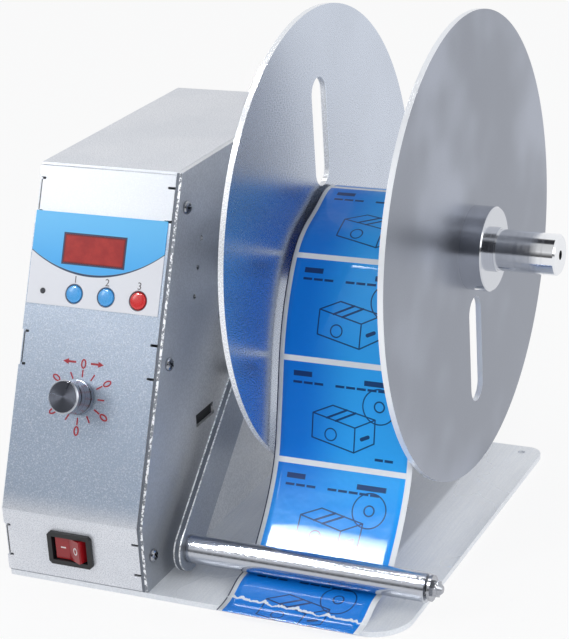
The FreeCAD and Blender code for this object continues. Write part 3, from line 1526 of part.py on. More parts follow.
def web_line():
    """Middle line of the web in the YZ plane, from behind the roll's top to the front edge."""
    yc, zc = size("spindle_y"), size("spindle_height")
    roll = size("roll_radius") + size("web_clearance") + size("web_thickness") / 2
    points = [
        Vector(0, yc + roll * math.cos(math.radians(angle)), zc + roll * math.sin(math.radians(angle)))
        for angle in WEB_ROLL_ANGLES
    ]
    anchors = {"spindle": (yc, zc), "roller": (size("roller_y"), size("roller_z"))}
    for anchor, dy, dz in WEB_SPOTS:
        points.append(Vector(0, anchors[anchor][0] + dy, anchors[anchor][1] + dz))
    under = size("roller_radius") + size("web_clearance") + size("web_thickness") / 2
    bottom = size("roller_z") - under
    floor = size("base_thickness") + size("web_thickness")
    front = size("front_face") - size("web_overhang")
    reach = size("roller_y") - front
    points.append(Vector(0, size("roller_y") + 1, bottom - 0.05))
    for share, drop in ((0.22, 0.12), (0.45, 0.52), (0.66, 0.9), (0.82, 1), (1, 1)):
        points.append(Vector(0, size("roller_y") - reach * share, bottom - (bottom - floor) * drop))
    return points


def label_web():
    points = web_line()
    middle = Part.BSplineCurve()
    middle.interpolate(points)
    half = size("web_thickness") / 2
    sides = ([], [])
    for point in points:
        tangent = middle.tangent(middle.parameter(point))[0]
        normal = Vector(0, -tangent.z, tangent.y)
        sides[0].append(point + normal * half)
        sides[1].append(point - normal * half)
    edges = []
    for side in sides:
        curve = Part.BSplineCurve()
        curve.interpolate(side)
        edges.append(curve.toShape())
    for end in (0, -1):
        edges.append(Part.LineSegment(sides[0][end], sides[1][end]).toShape())
    face = Part.Face(Part.Wire(Part.__sortEdges__(edges)))
    solid = solid_of("label_web", face.extrude(Vector(size("web_width"), 0, 0)))
    return keep("label_web", place(solid, "web_start"))


def outer_flange():
    """The disc and hub that slide along the spindle and are locked by a set screw."""
    clear = "spindle_radius + running_clearance"
    disc("outer_disc", "outer_disc_back", "spindle_radius + 0.3", -1, -1)
    hub_end = "outer_disc_front + outer_hub_length"
    hub("outer_hub", [
        ("outer_disc_front", clear), (f"{hub_end} + outer_collar_length", clear),
        (f"{hub_end} + outer_collar_length", "outer_collar_radius"), (hub_end, "outer_collar_radius"),
        (hub_end, "hub_radius - 0.6"), (f"{hub_end} - 0.6", "hub_radius"), ("outer_disc_front", "hub_radius"),
    ], "outer_disc_front + outer_hub_length * 0.62", "outer_disc_front - 0.5")
    disc_screws("outer_disc_screws", "outer_disc_back", -1)
    set_screw("outer_set_screw", "outer_disc_front + outer_hub_length * 0.62", clear)


# Build
base_plate()
base_screws()
side_plate()
box_cover()
front_panel()
panel_screws()
cover_screws()
control_overlay()
display_window()
display_module()
control_board()
board_standoffs()
indicator_led()
for button in range(3):
    push_button(button)
speed_dial()
switch_frame()
switch_rocker()
bearing_housing()
housing_screws()
bearing_pair(
    "spindle_bearings", ["spigot_end + 1", "housing_end - 1 - bearing_width"], "bearing_width",
    "journal_radius + running_clearance", "bearing_radius", "spindle_y", "spindle_height",
)
spindle_group()
outer_flange()
drive_gears()
gear_motor()
drill_gearbox()
motor_shaft()
motor_bracket()
bracket_posts()
motor_screws()
swing_arm()
arm_pivot()
arm_stop_pins()
arm_sensor()
roller_group()
power_supply()
mains_inlet()
label_web()
doc.recompute()


# Checks before anything is written
def check_model():
    for item in doc.Objects:
        if "Invalid" in item.State or "Error" in item.State:
            raise RuntimeError(f"{item.Label} did not build: {item.State}")
    for result, base in cuts:
        if result.Shape.Volume > base.Shape.Volume - 1e-6:
            raise RuntimeError(f"{result.Label} of {base.Label} cuts nothing")
    for node, item in parts.items():
        if item.Shape.isNull() or not item.Shape.isValid() or item.Shape.Volume <= 0:
            raise RuntimeError(f"{node} has no valid solid")


check_model()
os.makedirs("parts", exist_ok=True)
for node, item in parts.items():
    item.Shape.exportStep(f"parts/{node}.step")
print(f"{len(parts)} nodes written")
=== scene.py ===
"""Looks of the label rewinder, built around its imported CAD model. Lengths are in mm until they reach a mesh."""
import math

import bmesh
import bpy
import numpy as np
from mathutils import Matrix, Vector
from mathutils.bvhtree import BVHTree


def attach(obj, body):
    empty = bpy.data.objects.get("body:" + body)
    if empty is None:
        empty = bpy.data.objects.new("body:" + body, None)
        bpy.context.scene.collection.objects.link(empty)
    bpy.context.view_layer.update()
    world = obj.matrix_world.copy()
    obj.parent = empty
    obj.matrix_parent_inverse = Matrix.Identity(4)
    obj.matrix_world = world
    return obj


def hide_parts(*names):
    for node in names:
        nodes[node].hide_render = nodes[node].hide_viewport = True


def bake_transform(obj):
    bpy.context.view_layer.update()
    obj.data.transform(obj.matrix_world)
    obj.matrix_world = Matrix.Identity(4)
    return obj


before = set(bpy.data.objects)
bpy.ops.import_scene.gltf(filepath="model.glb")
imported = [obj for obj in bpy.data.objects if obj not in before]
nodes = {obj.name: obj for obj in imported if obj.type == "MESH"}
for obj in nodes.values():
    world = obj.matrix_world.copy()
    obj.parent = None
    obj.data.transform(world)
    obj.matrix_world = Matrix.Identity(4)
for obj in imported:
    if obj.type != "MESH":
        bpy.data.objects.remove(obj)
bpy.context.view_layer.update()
scene = bpy.context.scene
MM = 0.001

# Places on the machine, the same as in the part's source
SPINDLE = (43, 150)
ROLLER = (-86.4933, 17.2143)
SLOPE_ACROSS = Vector((1, 0, 0))
SLOPE_UP = Vector((0, 0.3985265, 0.9171568))
SLOPE_OUT = Vector((0, -0.9171568, 0.3985265))
SLOPE_ORIGIN = Vector((-111.5, -114, 39))
KNOB_PLACE = (39.2, 63)
PRINT_LIFT = 0.06


def slope_point(across, along, lift=0):
    return SLOPE_ORIGIN + SLOPE_ACROSS * across + SLOPE_UP * along + SLOPE_OUT * lift


def slope_frame(across, along, lift=0):
    """Turns flat artwork drawn in mm about its own origin into its place on the slope, in metres."""
    turn = Matrix((SLOPE_ACROSS, SLOPE_UP, SLOPE_OUT)).transposed().to_4x4()
    return Matrix.Translation(slope_point(across, along, lift) * MM) @ turn @ Matrix.Scale(MM, 4)


def srgb(red, green, blue):
    """A colour as the screen shows it, from 0 to 255, turned to the renderer's linear values."""
    def linear(value):
        value /= 255
        return value / 12.92 if value <= 0.04045 else ((value + 0.055) / 1.055) ** 2.4
    return (linear(red), linear(green), linear(blue), 1)


# Shader tools
def add(tree, kind, inputs=None, **settings):
    """A node in the tree, with its settings, and its inputs set or joined to other nodes' outputs."""
    node = tree.nodes.new(kind)
    for name, value in settings.items():
        setattr(node, name, value)
    for name, value in (inputs or {}).items():
        if isinstance(value, bpy.types.NodeSocket):
            tree.links.new(value, node.inputs[name])
        else:
            node.inputs[name].default_value = value
    return node


def maths(tree, operation, first, second=0.0, third=0.0, clamp=False):
    inputs = {0: first, 1: second}
    if operation in ("SMOOTH_MIN", "MULTIPLY_ADD", "COMPARE"):
        inputs[2] = third
    return add(tree, "ShaderNodeMath", inputs, operation=operation, use_clamp=clamp).outputs[0]


def vector_maths(tree, operation, first, second=None, scale=None):
    inputs = {0: first}
    if second is not None:
        inputs[1] = second
    if scale is not None:
        inputs["Scale"] = scale
    node = add(tree, "ShaderNodeVectorMath", inputs, operation=operation)
    return node.outputs["Value" if operation in ("DOT_PRODUCT", "LENGTH") else "Vector"]


def between(tree, value, low, high, start=0.0, end=1.0):
    """Maps low to high smoothly onto start to end."""
    inputs = {"Value": value, "From Min": low, "From Max": high, "To Min": start, "To Max": end}
    return add(tree, "ShaderNodeMapRange", inputs, interpolation_type="SMOOTHSTEP").outputs[0]


def blend_colour(tree, share, first, second, mode="MIX"):
    inputs = {"Factor": share, "A": first, "B": second}
    node = add(tree, "ShaderNodeMix", None, data_type="RGBA", blend_type=mode, clamp_factor=True)
    for name, value in inputs.items():
        socket = next(s for s in node.inputs if s.name == name and s.enabled)
        if isinstance(value, bpy.types.NodeSocket):
            tree.links.new(value, socket)
        else:
            socket.default_value = value
    return next(s for s in node.outputs if s.enabled)


def effect(name, inputs, outputs):
    """A shader group. Its inputs are (name, kind, default) and its outputs are (name, kind)."""
    tree = bpy.data.node_groups.new(name, "ShaderNodeTree")
    kinds = {"vector": "NodeSocketVector", "number": "NodeSocketFloat", "colour": "NodeSocketColor"}
    for label, kind, default in inputs:
        socket = tree.interface.new_socket(label, in_out="INPUT", socket_type=kinds[kind])
        socket.default_value = default
    for label, kind in outputs:
        tree.interface.new_socket(label, in_out="OUTPUT", socket_type=kinds[kind])
    return tree, tree.nodes.new("NodeGroupInput").outputs, tree.nodes.new("NodeGroupOutput").inputs


def placed(tree, group, inputs):
    """Puts a shader group in a tree, with its inputs set or joined, and returns its outputs."""
    node = tree.nodes.new("ShaderNodeGroup")
    node.node_tree = group
    for name, value in inputs.items():
        if isinstance(value, bpy.types.NodeSocket):
            tree.links.new(value, node.inputs[name])
        else:
            node.inputs[name].default_value = value
    return node.outputs


def make_grain():
    """Fine flecks of a blasted or hammered coat."""
    tree, given, out = effect(
        "fine_grain",
        [("Position", "vector", (0, 0, 0)), ("Grain", "number", 0.8)],
        [("Flecks", "number"), ("Height", "number")],
    )
    scale = maths(tree, "DIVIDE", 1 / MM, given["Grain"])
    fine = add(tree, "ShaderNodeTexNoise", {"Vector": given["Position"], "Scale": scale, "Detail": 3.0})
    flecks = between(tree, fine.outputs["Fac"], 0.36, 0.66)
    tree.links.new(flecks, out["Flecks"])
    tree.links.new(fine.outputs["Fac"], out["Height"])
    return tree


def make_patches():
    """Broad soft changes, as handling and rolling leave on bare sheet."""
    tree, given, out = effect(
        "soft_patches",
        [("Position", "vector", (0, 0, 0)), ("Size", "number", 60)],
        [("Patches", "number")],
    )
    scale = maths(tree, "DIVIDE", 1 / MM, given["Size"])
    cloud = add(tree, "ShaderNodeTexNoise", {"Vector": given["Position"], "Scale": scale, "Detail": 2.0})
    tree.links.new(between(tree, cloud.outputs["Fac"], 0.3, 0.7), out["Patches"])
    return tree


def make_brushing():
    """Long thin streaks along the piece's own X after the Stretch has squeezed it."""
    tree, given, out = effect(
        "brushing",
        [("Position", "vector", (0, 0, 0)), ("Stretch", "vector", (0.02, 1, 1)), ("Line", "number", 0.5)],
        [("Streaks", "number")],
    )
    scale = maths(tree, "DIVIDE", 1 / MM, given["Line"])
    squeezed = vector_maths(tree, "MULTIPLY", given["Position"], given["Stretch"])
    lines = add(tree, "ShaderNodeTexNoise", {"Vector": squeezed, "Scale": scale, "Detail": 3.0})
    tree.links.new(between(tree, lines.outputs["Fac"], 0.3, 0.7), out["Streaks"])
    return tree


def make_turned():
    """Place about a turning axis: distance along it, radius, angle, lathe rings and a round normal."""
    tree, given, out = effect(
        "about_axis",
        [("Position", "vector", (0, 0, 0)), ("Centre", "vector", (0, 0, 0)), ("Axis", "vector", (1, 0, 0)),
         ("Zero", "vector", (0, 0, 1)), ("Ring", "number", 0.5)],
        [("Along", "number"), ("Radius", "number"), ("Angle", "number"), ("Rings", "number"), ("Normal", "vector")],
    )
    offset = vector_maths(tree, "SUBTRACT", given["Position"], given["Centre"])
    along = vector_maths(tree, "DOT_PRODUCT", offset, given["Axis"])
    straight = vector_maths(tree, "SCALE", given["Axis"], scale=along)
    radial = vector_maths(tree, "SUBTRACT", offset, straight)
    radius = maths(tree, "DIVIDE", vector_maths(tree, "LENGTH", radial), MM)
    side = vector_maths(tree, "CROSS_PRODUCT", given["Axis"], given["Zero"])
    rise = vector_maths(tree, "DOT_PRODUCT", radial, given["Zero"])
    run = vector_maths(tree, "DOT_PRODUCT", radial, side)
    tree.links.new(maths(tree, "DIVIDE", along, MM), out["Along"])
    tree.links.new(radius, out["Radius"])
    tree.links.new(maths(tree, "ARCTAN2", run, rise), out["Angle"])
    spot = add(tree, "ShaderNodeCombineXYZ", {"X": maths(tree, "DIVIDE", along, MM), "Y": radius})
    step = maths(tree, "DIVIDE", 1.0, given["Ring"])
    rings = add(tree, "ShaderNodeTexNoise", {"Vector": spot.outputs[0], "Scale": step, "Detail": 2.0})
    tree.links.new(between(tree, rings.outputs["Fac"], 0.3, 0.7), out["Rings"])
    outwards = vector_maths(tree, "NORMALIZE", radial)
    flat = add(tree, "ShaderNodeTexCoord").outputs["Normal"]
    facing = vector_maths(tree, "DOT_PRODUCT", flat, outwards)
    round_side = maths(tree, "GREATER_THAN", maths(tree, "ABSOLUTE", facing), 0.97)
    signed = vector_maths(tree, "SCALE", outwards, scale=maths(tree, "SIGN", facing))
    mix = add(tree, "ShaderNodeMix", None, data_type="VECTOR", factor_mode="UNIFORM")
    for socket, value in zip([s for s in mix.inputs if s.enabled], (round_side, flat, signed)):
        tree.links.new(value, socket)
    smooth = next(s for s in mix.outputs if s.enabled)
    world = add(
        tree, "ShaderNodeVectorTransform", {"Vector": smooth},
        vector_type="NORMAL", convert_from="OBJECT", convert_to="WORLD",
    )
    tree.links.new(world.outputs[0], out["Normal"])
    return tree


def make_panel_place():
    """Across and up the sloping front, in mm, with the way out of its face as Out."""
    tree, given, out = effect(
        "panel_place", [("Position", "vector", (0, 0, 0))], [("Across", "number"), ("Along", "number"), ("Out", "number")]
    )
    offset = vector_maths(tree, "SUBTRACT", given["Position"], SLOPE_ORIGIN * MM)
    for name, way in (("Across", SLOPE_ACROSS), ("Along", SLOPE_UP), ("Out", SLOPE_OUT)):
        share = vector_maths(tree, "DOT_PRODUCT", offset, way)
        tree.links.new(maths(tree, "DIVIDE", share, MM), out[name])
    return tree


def make_stroke():
    """A drawn line between two points, or a row of plain blocks of the given length."""
    tree, given, out = effect(
        "stroke",
        [("Point", "vector", (0, 0, 0)), ("From", "vector", (0, 0, 0)), ("To", "vector", (1, 0, 0)),
         ("Width", "number", 0.5), ("Block", "number", 0.0)],
        [("Mask", "number")],
    )
    run = vector_maths(tree, "SUBTRACT", given["To"], given["From"])
    gone = vector_maths(tree, "SUBTRACT", given["Point"], given["From"])
    squared = vector_maths(tree, "DOT_PRODUCT", run, run)
    loose = maths(tree, "DIVIDE", vector_maths(tree, "DOT_PRODUCT", gone, run), squared)
    share = maths(tree, "MAXIMUM", maths(tree, "MINIMUM", loose, 1.0), 0.0)
    nearest = vector_maths(tree, "SCALE", run, scale=share)
    distance = vector_maths(tree, "LENGTH", vector_maths(tree, "SUBTRACT", gone, nearest))
    half = maths(tree, "MULTIPLY", given["Width"], 0.5)
    outer = maths(tree, "ADD", half, 0.18)
    line = between(tree, distance, half, outer, 1.0, 0.0)
    plain = maths(tree, "LESS_THAN", given["Block"], 0.01)
    length = vector_maths(tree, "LENGTH", run)
    cell = maths(tree, "DIVIDE", maths(tree, "MULTIPLY", loose, length), maths(tree, "MAXIMUM", given["Block"], 0.01))
    chance = add(
        tree, "ShaderNodeTexWhiteNoise", {"W": maths(tree, "FLOOR", maths(tree, "ADD", cell, given["Width"]))},
        noise_dimensions="1D",
    ).outputs["Value"]
    word = maths(tree, "GREATER_THAN", chance, 0.06)
    gap = between(tree, maths(tree, "FRACT", cell), 0.82, 0.86, 1.0, 0.0)
    inside = maths(tree, "COMPARE", loose, 0.5, 0.5)
    blocks = maths(tree, "MULTIPLY", maths(tree, "MULTIPLY", word, gap), inside)
    tree.links.new(maths(tree, "MULTIPLY", line, maths(tree, "MAXIMUM", plain, blocks)), out["Mask"])
    return tree


GRAIN, PATCHES, BRUSHING, TURNED = make_grain(), make_patches(), make_brushing(), make_turned()
PANEL_PLACE, STROKE = make_panel_place(), make_stroke()

# Generic label print, drawn in mm on one label: x across from its left edge, y down from its top edge
LABEL_PITCH = 54.3
LABEL_FIRST_GAP = 32
WEB_WIDTH = 78
LABEL_MARGIN = 3
PRINT_STROKES = [
    ((6, 6.2), (18, 6.2), 2.6, 12.5), ((46, 7.4), (65, 7.4), 2.6, 19.5), ((6, 10.8), (60, 10.8), 1.1, 6),
    ((54, 46.6), (65, 46.6), 1.2, 5.5),
    ((18, 26), (18, 39), 0.55, 0), ((18, 39), (42, 44.5), 0.55, 0), ((42, 44.5), (42, 31.5), 0.55, 0),
    ((42, 31.5), (18, 26), 0.55, 0), ((42, 31.5), (53, 26), 0.55, 0), ((53, 26), (53, 38.5), 0.55, 0),
    ((53, 38.5), (42, 44.5), 0.55, 0), ((18, 26), (29, 21), 0.55, 0), ((29, 21), (53, 26), 0.55, 0),
    ((26, 27.9), (37, 22.7), 0.9, 0), ((31, 29), (42, 23.7), 0.9, 0), ((46, 37), (49.5, 35.4), 1.8, 0),
]
PRINT_RINGS = [((55, 19), 9.2, 0.5), ((55, 19), 2.7, 0.6), ((28.5, 36.5), 3.2, 0.5)]


def make_label_print():
    """Colour of the label web at a place across and along it, both in mm."""
    tree, given, out = effect(
        "label_print",
        [("Across", "number", 0), ("Along", "number", 0), ("Blue", "colour", srgb(16, 138, 244))],
        [("Colour", "colour"), ("Label", "number")],
    )
    shifted = maths(tree, "ADD", given["Along"], LABEL_PITCH * 4 - LABEL_FIRST_GAP)
    turn = maths(tree, "FRACT", maths(tree, "DIVIDE", shifted, LABEL_PITCH))
    down = maths(tree, "SUBTRACT", maths(tree, "MULTIPLY", turn, LABEL_PITCH), 1.5)
    right = maths(tree, "SUBTRACT", given["Across"], LABEL_MARGIN)
    inside = [
        between(tree, down, -0.12, 0.12), between(tree, down, LABEL_PITCH - 3.12, LABEL_PITCH - 2.88, 1.0, 0.0),
        between(tree, right, -0.12, 0.12), between(tree, right, 71.88, 72.12, 1.0, 0.0),
    ]
    label = inside[0]
    for mask in inside[1:]:
        label = maths(tree, "MULTIPLY", label, mask)
    point = add(tree, "ShaderNodeCombineXYZ", {"X": right, "Y": down}).outputs[0]
    ink = None
    for start, end, width, block in PRINT_STROKES:
        row = {"Point": point, "From": (*start, 0), "To": (*end, 0), "Width": width, "Block": float(block)}
        mask = placed(tree, STROKE, row)["Mask"]
        ink = mask if ink is None else maths(tree, "MAXIMUM", ink, mask)
    for centre, radius, width in PRINT_RINGS:
        reach = vector_maths(tree, "LENGTH", vector_maths(tree, "SUBTRACT", point, (*centre, 0)))
        off = maths(tree, "ABSOLUTE", maths(tree, "SUBTRACT", reach, radius))
        ink = maths(tree, "MAXIMUM", ink, between(tree, off, width / 2, width / 2 + 0.18, 1.0, 0.0))
    printed = blend_colour(tree, maths(tree, "MULTIPLY", ink, 0.92), given["Blue"], srgb(14, 44, 96))
    # The liner is white, with a dark line along its left edge as painted shade in the gap beside the inner disc.
    liner_and_edge_shade = blend_colour(tree, between(tree, given["Across"], 0.5, 0.8), srgb(40, 48, 84), srgb(236, 240, 246))
    tree.links.new(blend_colour(tree, label, liner_and_edge_shade, printed), out["Colour"])
    tree.links.new(label, out["Label"])
    return tree


LABEL_PRINT = make_label_print()


# Materials
def finish(name, **constants):
    """A new material: its tree, its shader node and the piece's own coordinates."""
    material = bpy.data.materials.new(name)
    material.use_nodes = True
    tree = material.node_tree
    shader = tree.nodes["Principled BSDF"]
    for label, value in constants.items():
        shader.inputs[label.replace("_", " ")].default_value = value
    position = add(tree, "ShaderNodeTexCoord").outputs["Object"]
    return material, tree, shader, position


def feed(tree, shader, **links):
    for label, value in links.items():
        tree.links.new(value, shader.inputs[label.replace("_", " ")])


def bumped(tree, height, depth, normal=None):
    """A normal from a height between 0 and 1 that stands for the given depth in mm."""
    inputs = {"Height": height, "Distance": depth * MM, "Strength": 1.0}
    if normal is not None:
        inputs["Normal"] = normal
    return add(tree, "ShaderNodeBump", inputs).outputs[0]


def sheet_metal(name, colour, roughness, grain=0.9, contrast=0.14, cloud=0.08, metallic=1.0, depth=0.012, edge=None):
    """Satin sheet with fine flecks and soft patches. Cut edges can have a brighter colour of their own."""
    material, tree, shader, position = finish(name, Metallic=metallic)
    flecks = placed(tree, GRAIN, {"Position": position, "Grain": grain})
    patches = placed(tree, PATCHES, {"Position": position, "Size": 70.0})["Patches"]
    low = tuple(c * (1 - contrast) for c in colour[:3]) + (1,)
    high = tuple(min(1, c * (1 + contrast)) for c in colour[:3]) + (1,)
    base = blend_colour(tree, flecks["Flecks"], low, high)
    shade = between(tree, patches, 0.0, 1.0, 1 - cloud, 1.0)
    grey = add(tree, "ShaderNodeCombineColor", {"Red": shade, "Green": shade, "Blue": shade}).outputs[0]
    base = blend_colour(tree, 1.0, base, grey, "MULTIPLY")
    # The edge colour is partly the bare cut edge and partly a painted highlight.
    if edge:
        flat = add(tree, "ShaderNodeTexCoord").outputs["Normal"]
        sideways = maths(tree, "ABSOLUTE", add(tree, "ShaderNodeSeparateXYZ", {0: flat}).outputs["X"])
        rim = between(tree, sideways, 0.5, 0.9, 1.0, 0.0)
        base = blend_colour(tree, rim, base, edge)
        feed(tree, shader, Metallic=between(tree, rim, 0.0, 1.0, metallic, 0.25))
    rough = between(tree, flecks["Flecks"], 0.0, 1.0, roughness - contrast / 2, roughness + contrast / 2)
    feed(tree, shader, Base_Color=base, Roughness=rough, Normal=bumped(tree, flecks["Height"], depth))
    return material


def turned_metal(name, colour, roughness, centre=(0, 0), axis=(1, 0, 0), place=None, ring=0.4, contrast=0.1, depth=0.006, metallic=1.0):
    """Lathe-turned metal about an axis, with its fine rings. centre is (y, z) in mm for an axis along X."""
    material, tree, shader, position = finish(name, Metallic=metallic)
    spot = place if place is not None else Vector((0, centre[0], centre[1]))
    about = placed(tree, TURNED, {"Position": position, "Centre": spot * MM, "Axis": axis, "Ring": ring})
    low = tuple(c * (1 - contrast) for c in colour[:3]) + (1,)
    base = blend_colour(tree, about["Rings"], low, colour)
    rough = between(tree, about["Rings"], 0.0, 1.0, roughness - 0.04, roughness + 0.04)
    normal = bumped(tree, about["Rings"], depth, about["Normal"])
    feed(tree, shader, Base_Color=base, Roughness=rough, Normal=normal)
    return material


def moulded(name, colour, roughness, grain=0.5, depth=0.01, coat=0.0, cloud=0.06):
    """Moulded plastic with a faint uneven skin."""
    material, tree, shader, position = finish(name, Coat_Weight=coat, Coat_Roughness=0.08)
    flecks = placed(tree, GRAIN, {"Position": position, "Grain": grain})
    low = tuple(c * (1 - cloud) for c in colour[:3]) + (1,)
    base = blend_colour(tree, flecks["Flecks"], low, colour)
    rough = between(tree, flecks["Flecks"], 0.0, 1.0, roughness, roughness + 0.06)
    feed(tree, shader, Base_Color=base, Roughness=rough, Normal=bumped(tree, flecks["Height"], depth))
    return material


def panel_coat():
    """Speckled satin coat of the box: light and dark flecks on a pale blue-grey, with painted light and shade: paler
    towards the top, pale on its lower front face and on faces that don't face forward.
    """
    material, tree, shader, position = finish("panel_coat", Metallic=0.5)
    flecks = placed(tree, GRAIN, {"Position": position, "Grain": 0.8})
    fine = placed(tree, GRAIN, {"Position": position, "Grain": 0.6})
    patches = placed(tree, PATCHES, {"Position": position, "Size": 45.0})["Patches"]
    height = add(tree, "ShaderNodeSeparateXYZ", {0: position}).outputs["Z"]
    # Painted light and shade: pale on the lower front face, darker low on the slope, paler towards its top.
    base = blend_colour(tree, between(tree, height, 0.036, 0.05), srgb(226, 228, 234), srgb(162, 176, 196))
    base = blend_colour(tree, between(tree, height, 0.07, 0.16), base, srgb(186, 199, 217))
    # Painted light: faces that don't face forward, such as the top, are pale.
    forward = add(tree, "ShaderNodeSeparateXYZ", {0: add(tree, "ShaderNodeTexCoord").outputs["Normal"]}).outputs["Y"]
    front = between(tree, forward, -0.8, -0.4, 1.0, 0.0)
    base = blend_colour(tree, front, srgb(224, 226, 232), base)
    base = blend_colour(tree, between(tree, flecks["Flecks"], 0.5, 1.0, 0.0, 0.4), base, srgb(240, 244, 250))
    base = blend_colour(tree, between(tree, fine["Flecks"], 0.0, 0.5, 0.34, 0.0), base, srgb(122, 135, 152))
    base = blend_colour(tree, between(tree, patches, 0.0, 1.0, 0.1, 0.0), base, srgb(150, 163, 180))
    # Painted light: a paler band at the top of the forward faces.
    painted_top_light = maths(tree, "MULTIPLY", front, between(tree, height, 0.17, 0.188))
    base = blend_colour(tree, maths(tree, "MULTIPLY", painted_top_light, 0.8), base, srgb(228, 231, 236))
    spot = placed(tree, PANEL_PLACE, {"Position": position})
    for low, high in TAB_REACHES:
        tab = maths(tree, "MULTIPLY", between(tree, spot["Along"], low - 0.2, low), between(tree, spot["Along"], high, high + 0.2, 1.0, 0.0))
        for centre, share in ((1.7, 0.9), (82.2, 0.55)):
            off = maths(tree, "ABSOLUTE", maths(tree, "SUBTRACT", spot["Across"], centre))
            line = between(tree, off, 0.3, 0.5, share, 0.0)
            base = blend_colour(tree, maths(tree, "MULTIPLY", tab, line), base, srgb(22, 24, 28))
    rough = between(tree, flecks["Flecks"], 0.0, 1.0, 0.4, 0.3)
    feed(tree, shader, Base_Color=base, Roughness=rough, Normal=bumped(tree, flecks["Height"], 0.03))
    return material


def side_plate_metal():
    """Dark satin plate with painted light: paler near its top, darker at its foot as painted shade, and a painted
    sheen along the arm's line. A bright rough burr with a painted highlight runs along its front cut edge.
    """
    material, tree, shader, position = finish("side_plate_metal", Metallic=0.5)
    flecks = placed(tree, GRAIN, {"Position": position, "Grain": 0.9})
    patches = placed(tree, PATCHES, {"Position": position, "Size": 80.0})["Patches"]
    place = add(tree, "ShaderNodeSeparateXYZ", {0: position}).outputs
    # Painted light: paler towards the top; painted shade: darker towards the foot.
    top = between(tree, place["Z"], 0.13, 0.205)
    foot_shade = between(tree, place["Z"], 0.02, 0.09, 1.0, 0.0)
    base = blend_colour(tree, top, srgb(196, 202, 212), srgb(226, 229, 234))
    base = blend_colour(tree, foot_shade, base, srgb(140, 146, 156))
    # Painted sheen: a bright band along the swing arm's line, fading towards the front.
    off = maths(tree, "SUBTRACT", maths(tree, "MULTIPLY", place["Z"], 0.825), maths(tree, "MULTIPLY", place["Y"], 0.565))
    painted_sheen = maths(tree, "MULTIPLY", between(tree, off, 0.095, 0.127, 1.0, 0.0), between(tree, place["Y"], -0.09, -0.02, 0.2, 1.0))
    base = blend_colour(tree, painted_sheen, base, srgb(252, 253, 254))
    base = blend_colour(tree, between(tree, flecks["Flecks"], 0.0, 1.0, 0.2, 0.0), base, srgb(110, 116, 126))
    base = blend_colour(tree, between(tree, patches, 0.0, 1.0, 0.16, 0.0), base, srgb(130, 136, 146))
    burr = placed(tree, GRAIN, {"Position": position, "Grain": 1.6})["Flecks"]
    flat = add(tree, "ShaderNodeTexCoord").outputs["Normal"]
    forward = add(tree, "ShaderNodeSeparateXYZ", {0: flat}).outputs["Y"]
    front = between(tree, forward, -0.6, -0.3, 1.0, 0.0)
    corner = between(tree, place["X"], -0.0291, -0.0288)
    seam = between(tree, place["X"], -0.0309, -0.0306, 1.0, 0.0)
    base = blend_colour(tree, front, base, blend_colour(tree, seam, srgb(104, 110, 120), srgb(40, 44, 52)))
    # Painted highlight on the rough burr at the front corner of the cut edge.
    bright = maths(tree, "MULTIPLY", maths(tree, "MULTIPLY", front, corner), between(tree, burr, 0.25, 0.75, 0.1, 1.0))
    base = blend_colour(tree, bright, base, srgb(244, 246, 250))
    rough = between(tree, flecks["Flecks"], 0.0, 1.0, 0.34, 0.44)
    feed(tree, shader, Base_Color=base, Roughness=rough, Normal=bumped(tree, flecks["Height"], 0.012))
    return material


def arm_metal():
    """Satin bar with rough burrs along both corners of its cut edge, made bright with a painted highlight."""
    material, tree, shader, position = finish("arm_metal", Metallic=0.8)
    flecks = placed(tree, GRAIN, {"Position": position, "Grain": 0.8})
    burr = placed(tree, GRAIN, {"Position": position, "Grain": 1.4})["Flecks"]
    across = maths(tree, "DIVIDE", add(tree, "ShaderNodeSeparateXYZ", {0: position}).outputs["X"], MM)
    flat = add(tree, "ShaderNodeTexCoord").outputs["Normal"]
    sideways = maths(tree, "ABSOLUTE", add(tree, "ShaderNodeSeparateXYZ", {0: flat}).outputs["X"])
    cut = between(tree, sideways, 0.5, 0.9, 1.0, 0.0)
    middle = maths(tree, "ABSOLUTE", maths(tree, "SUBTRACT", across, sum(ARM_SIDES) / 2))
    base = blend_colour(tree, flecks["Flecks"], srgb(170, 176, 186), srgb(188, 194, 203))
    base = blend_colour(tree, cut, base, srgb(98, 104, 114))
    # The rough burr along both corners of the cut edge, with a painted highlight on it.
    corner = maths(tree, "MULTIPLY", between(tree, middle, 1.1, 1.3), between(tree, burr, 0.1, 0.5, 0.4, 1.0))
    base = blend_colour(tree, maths(tree, "MULTIPLY", cut, corner), base, srgb(250, 252, 254))
    rough = between(tree, flecks["Flecks"], 0.0, 1.0, 0.32, 0.4)
    metal = between(tree, cut, 0.0, 1.0, 0.85, 0.4)
    feed(tree, shader, Base_Color=base, Roughness=rough, Metallic=metal, Normal=bumped(tree, flecks["Height"], 0.01))
    return material


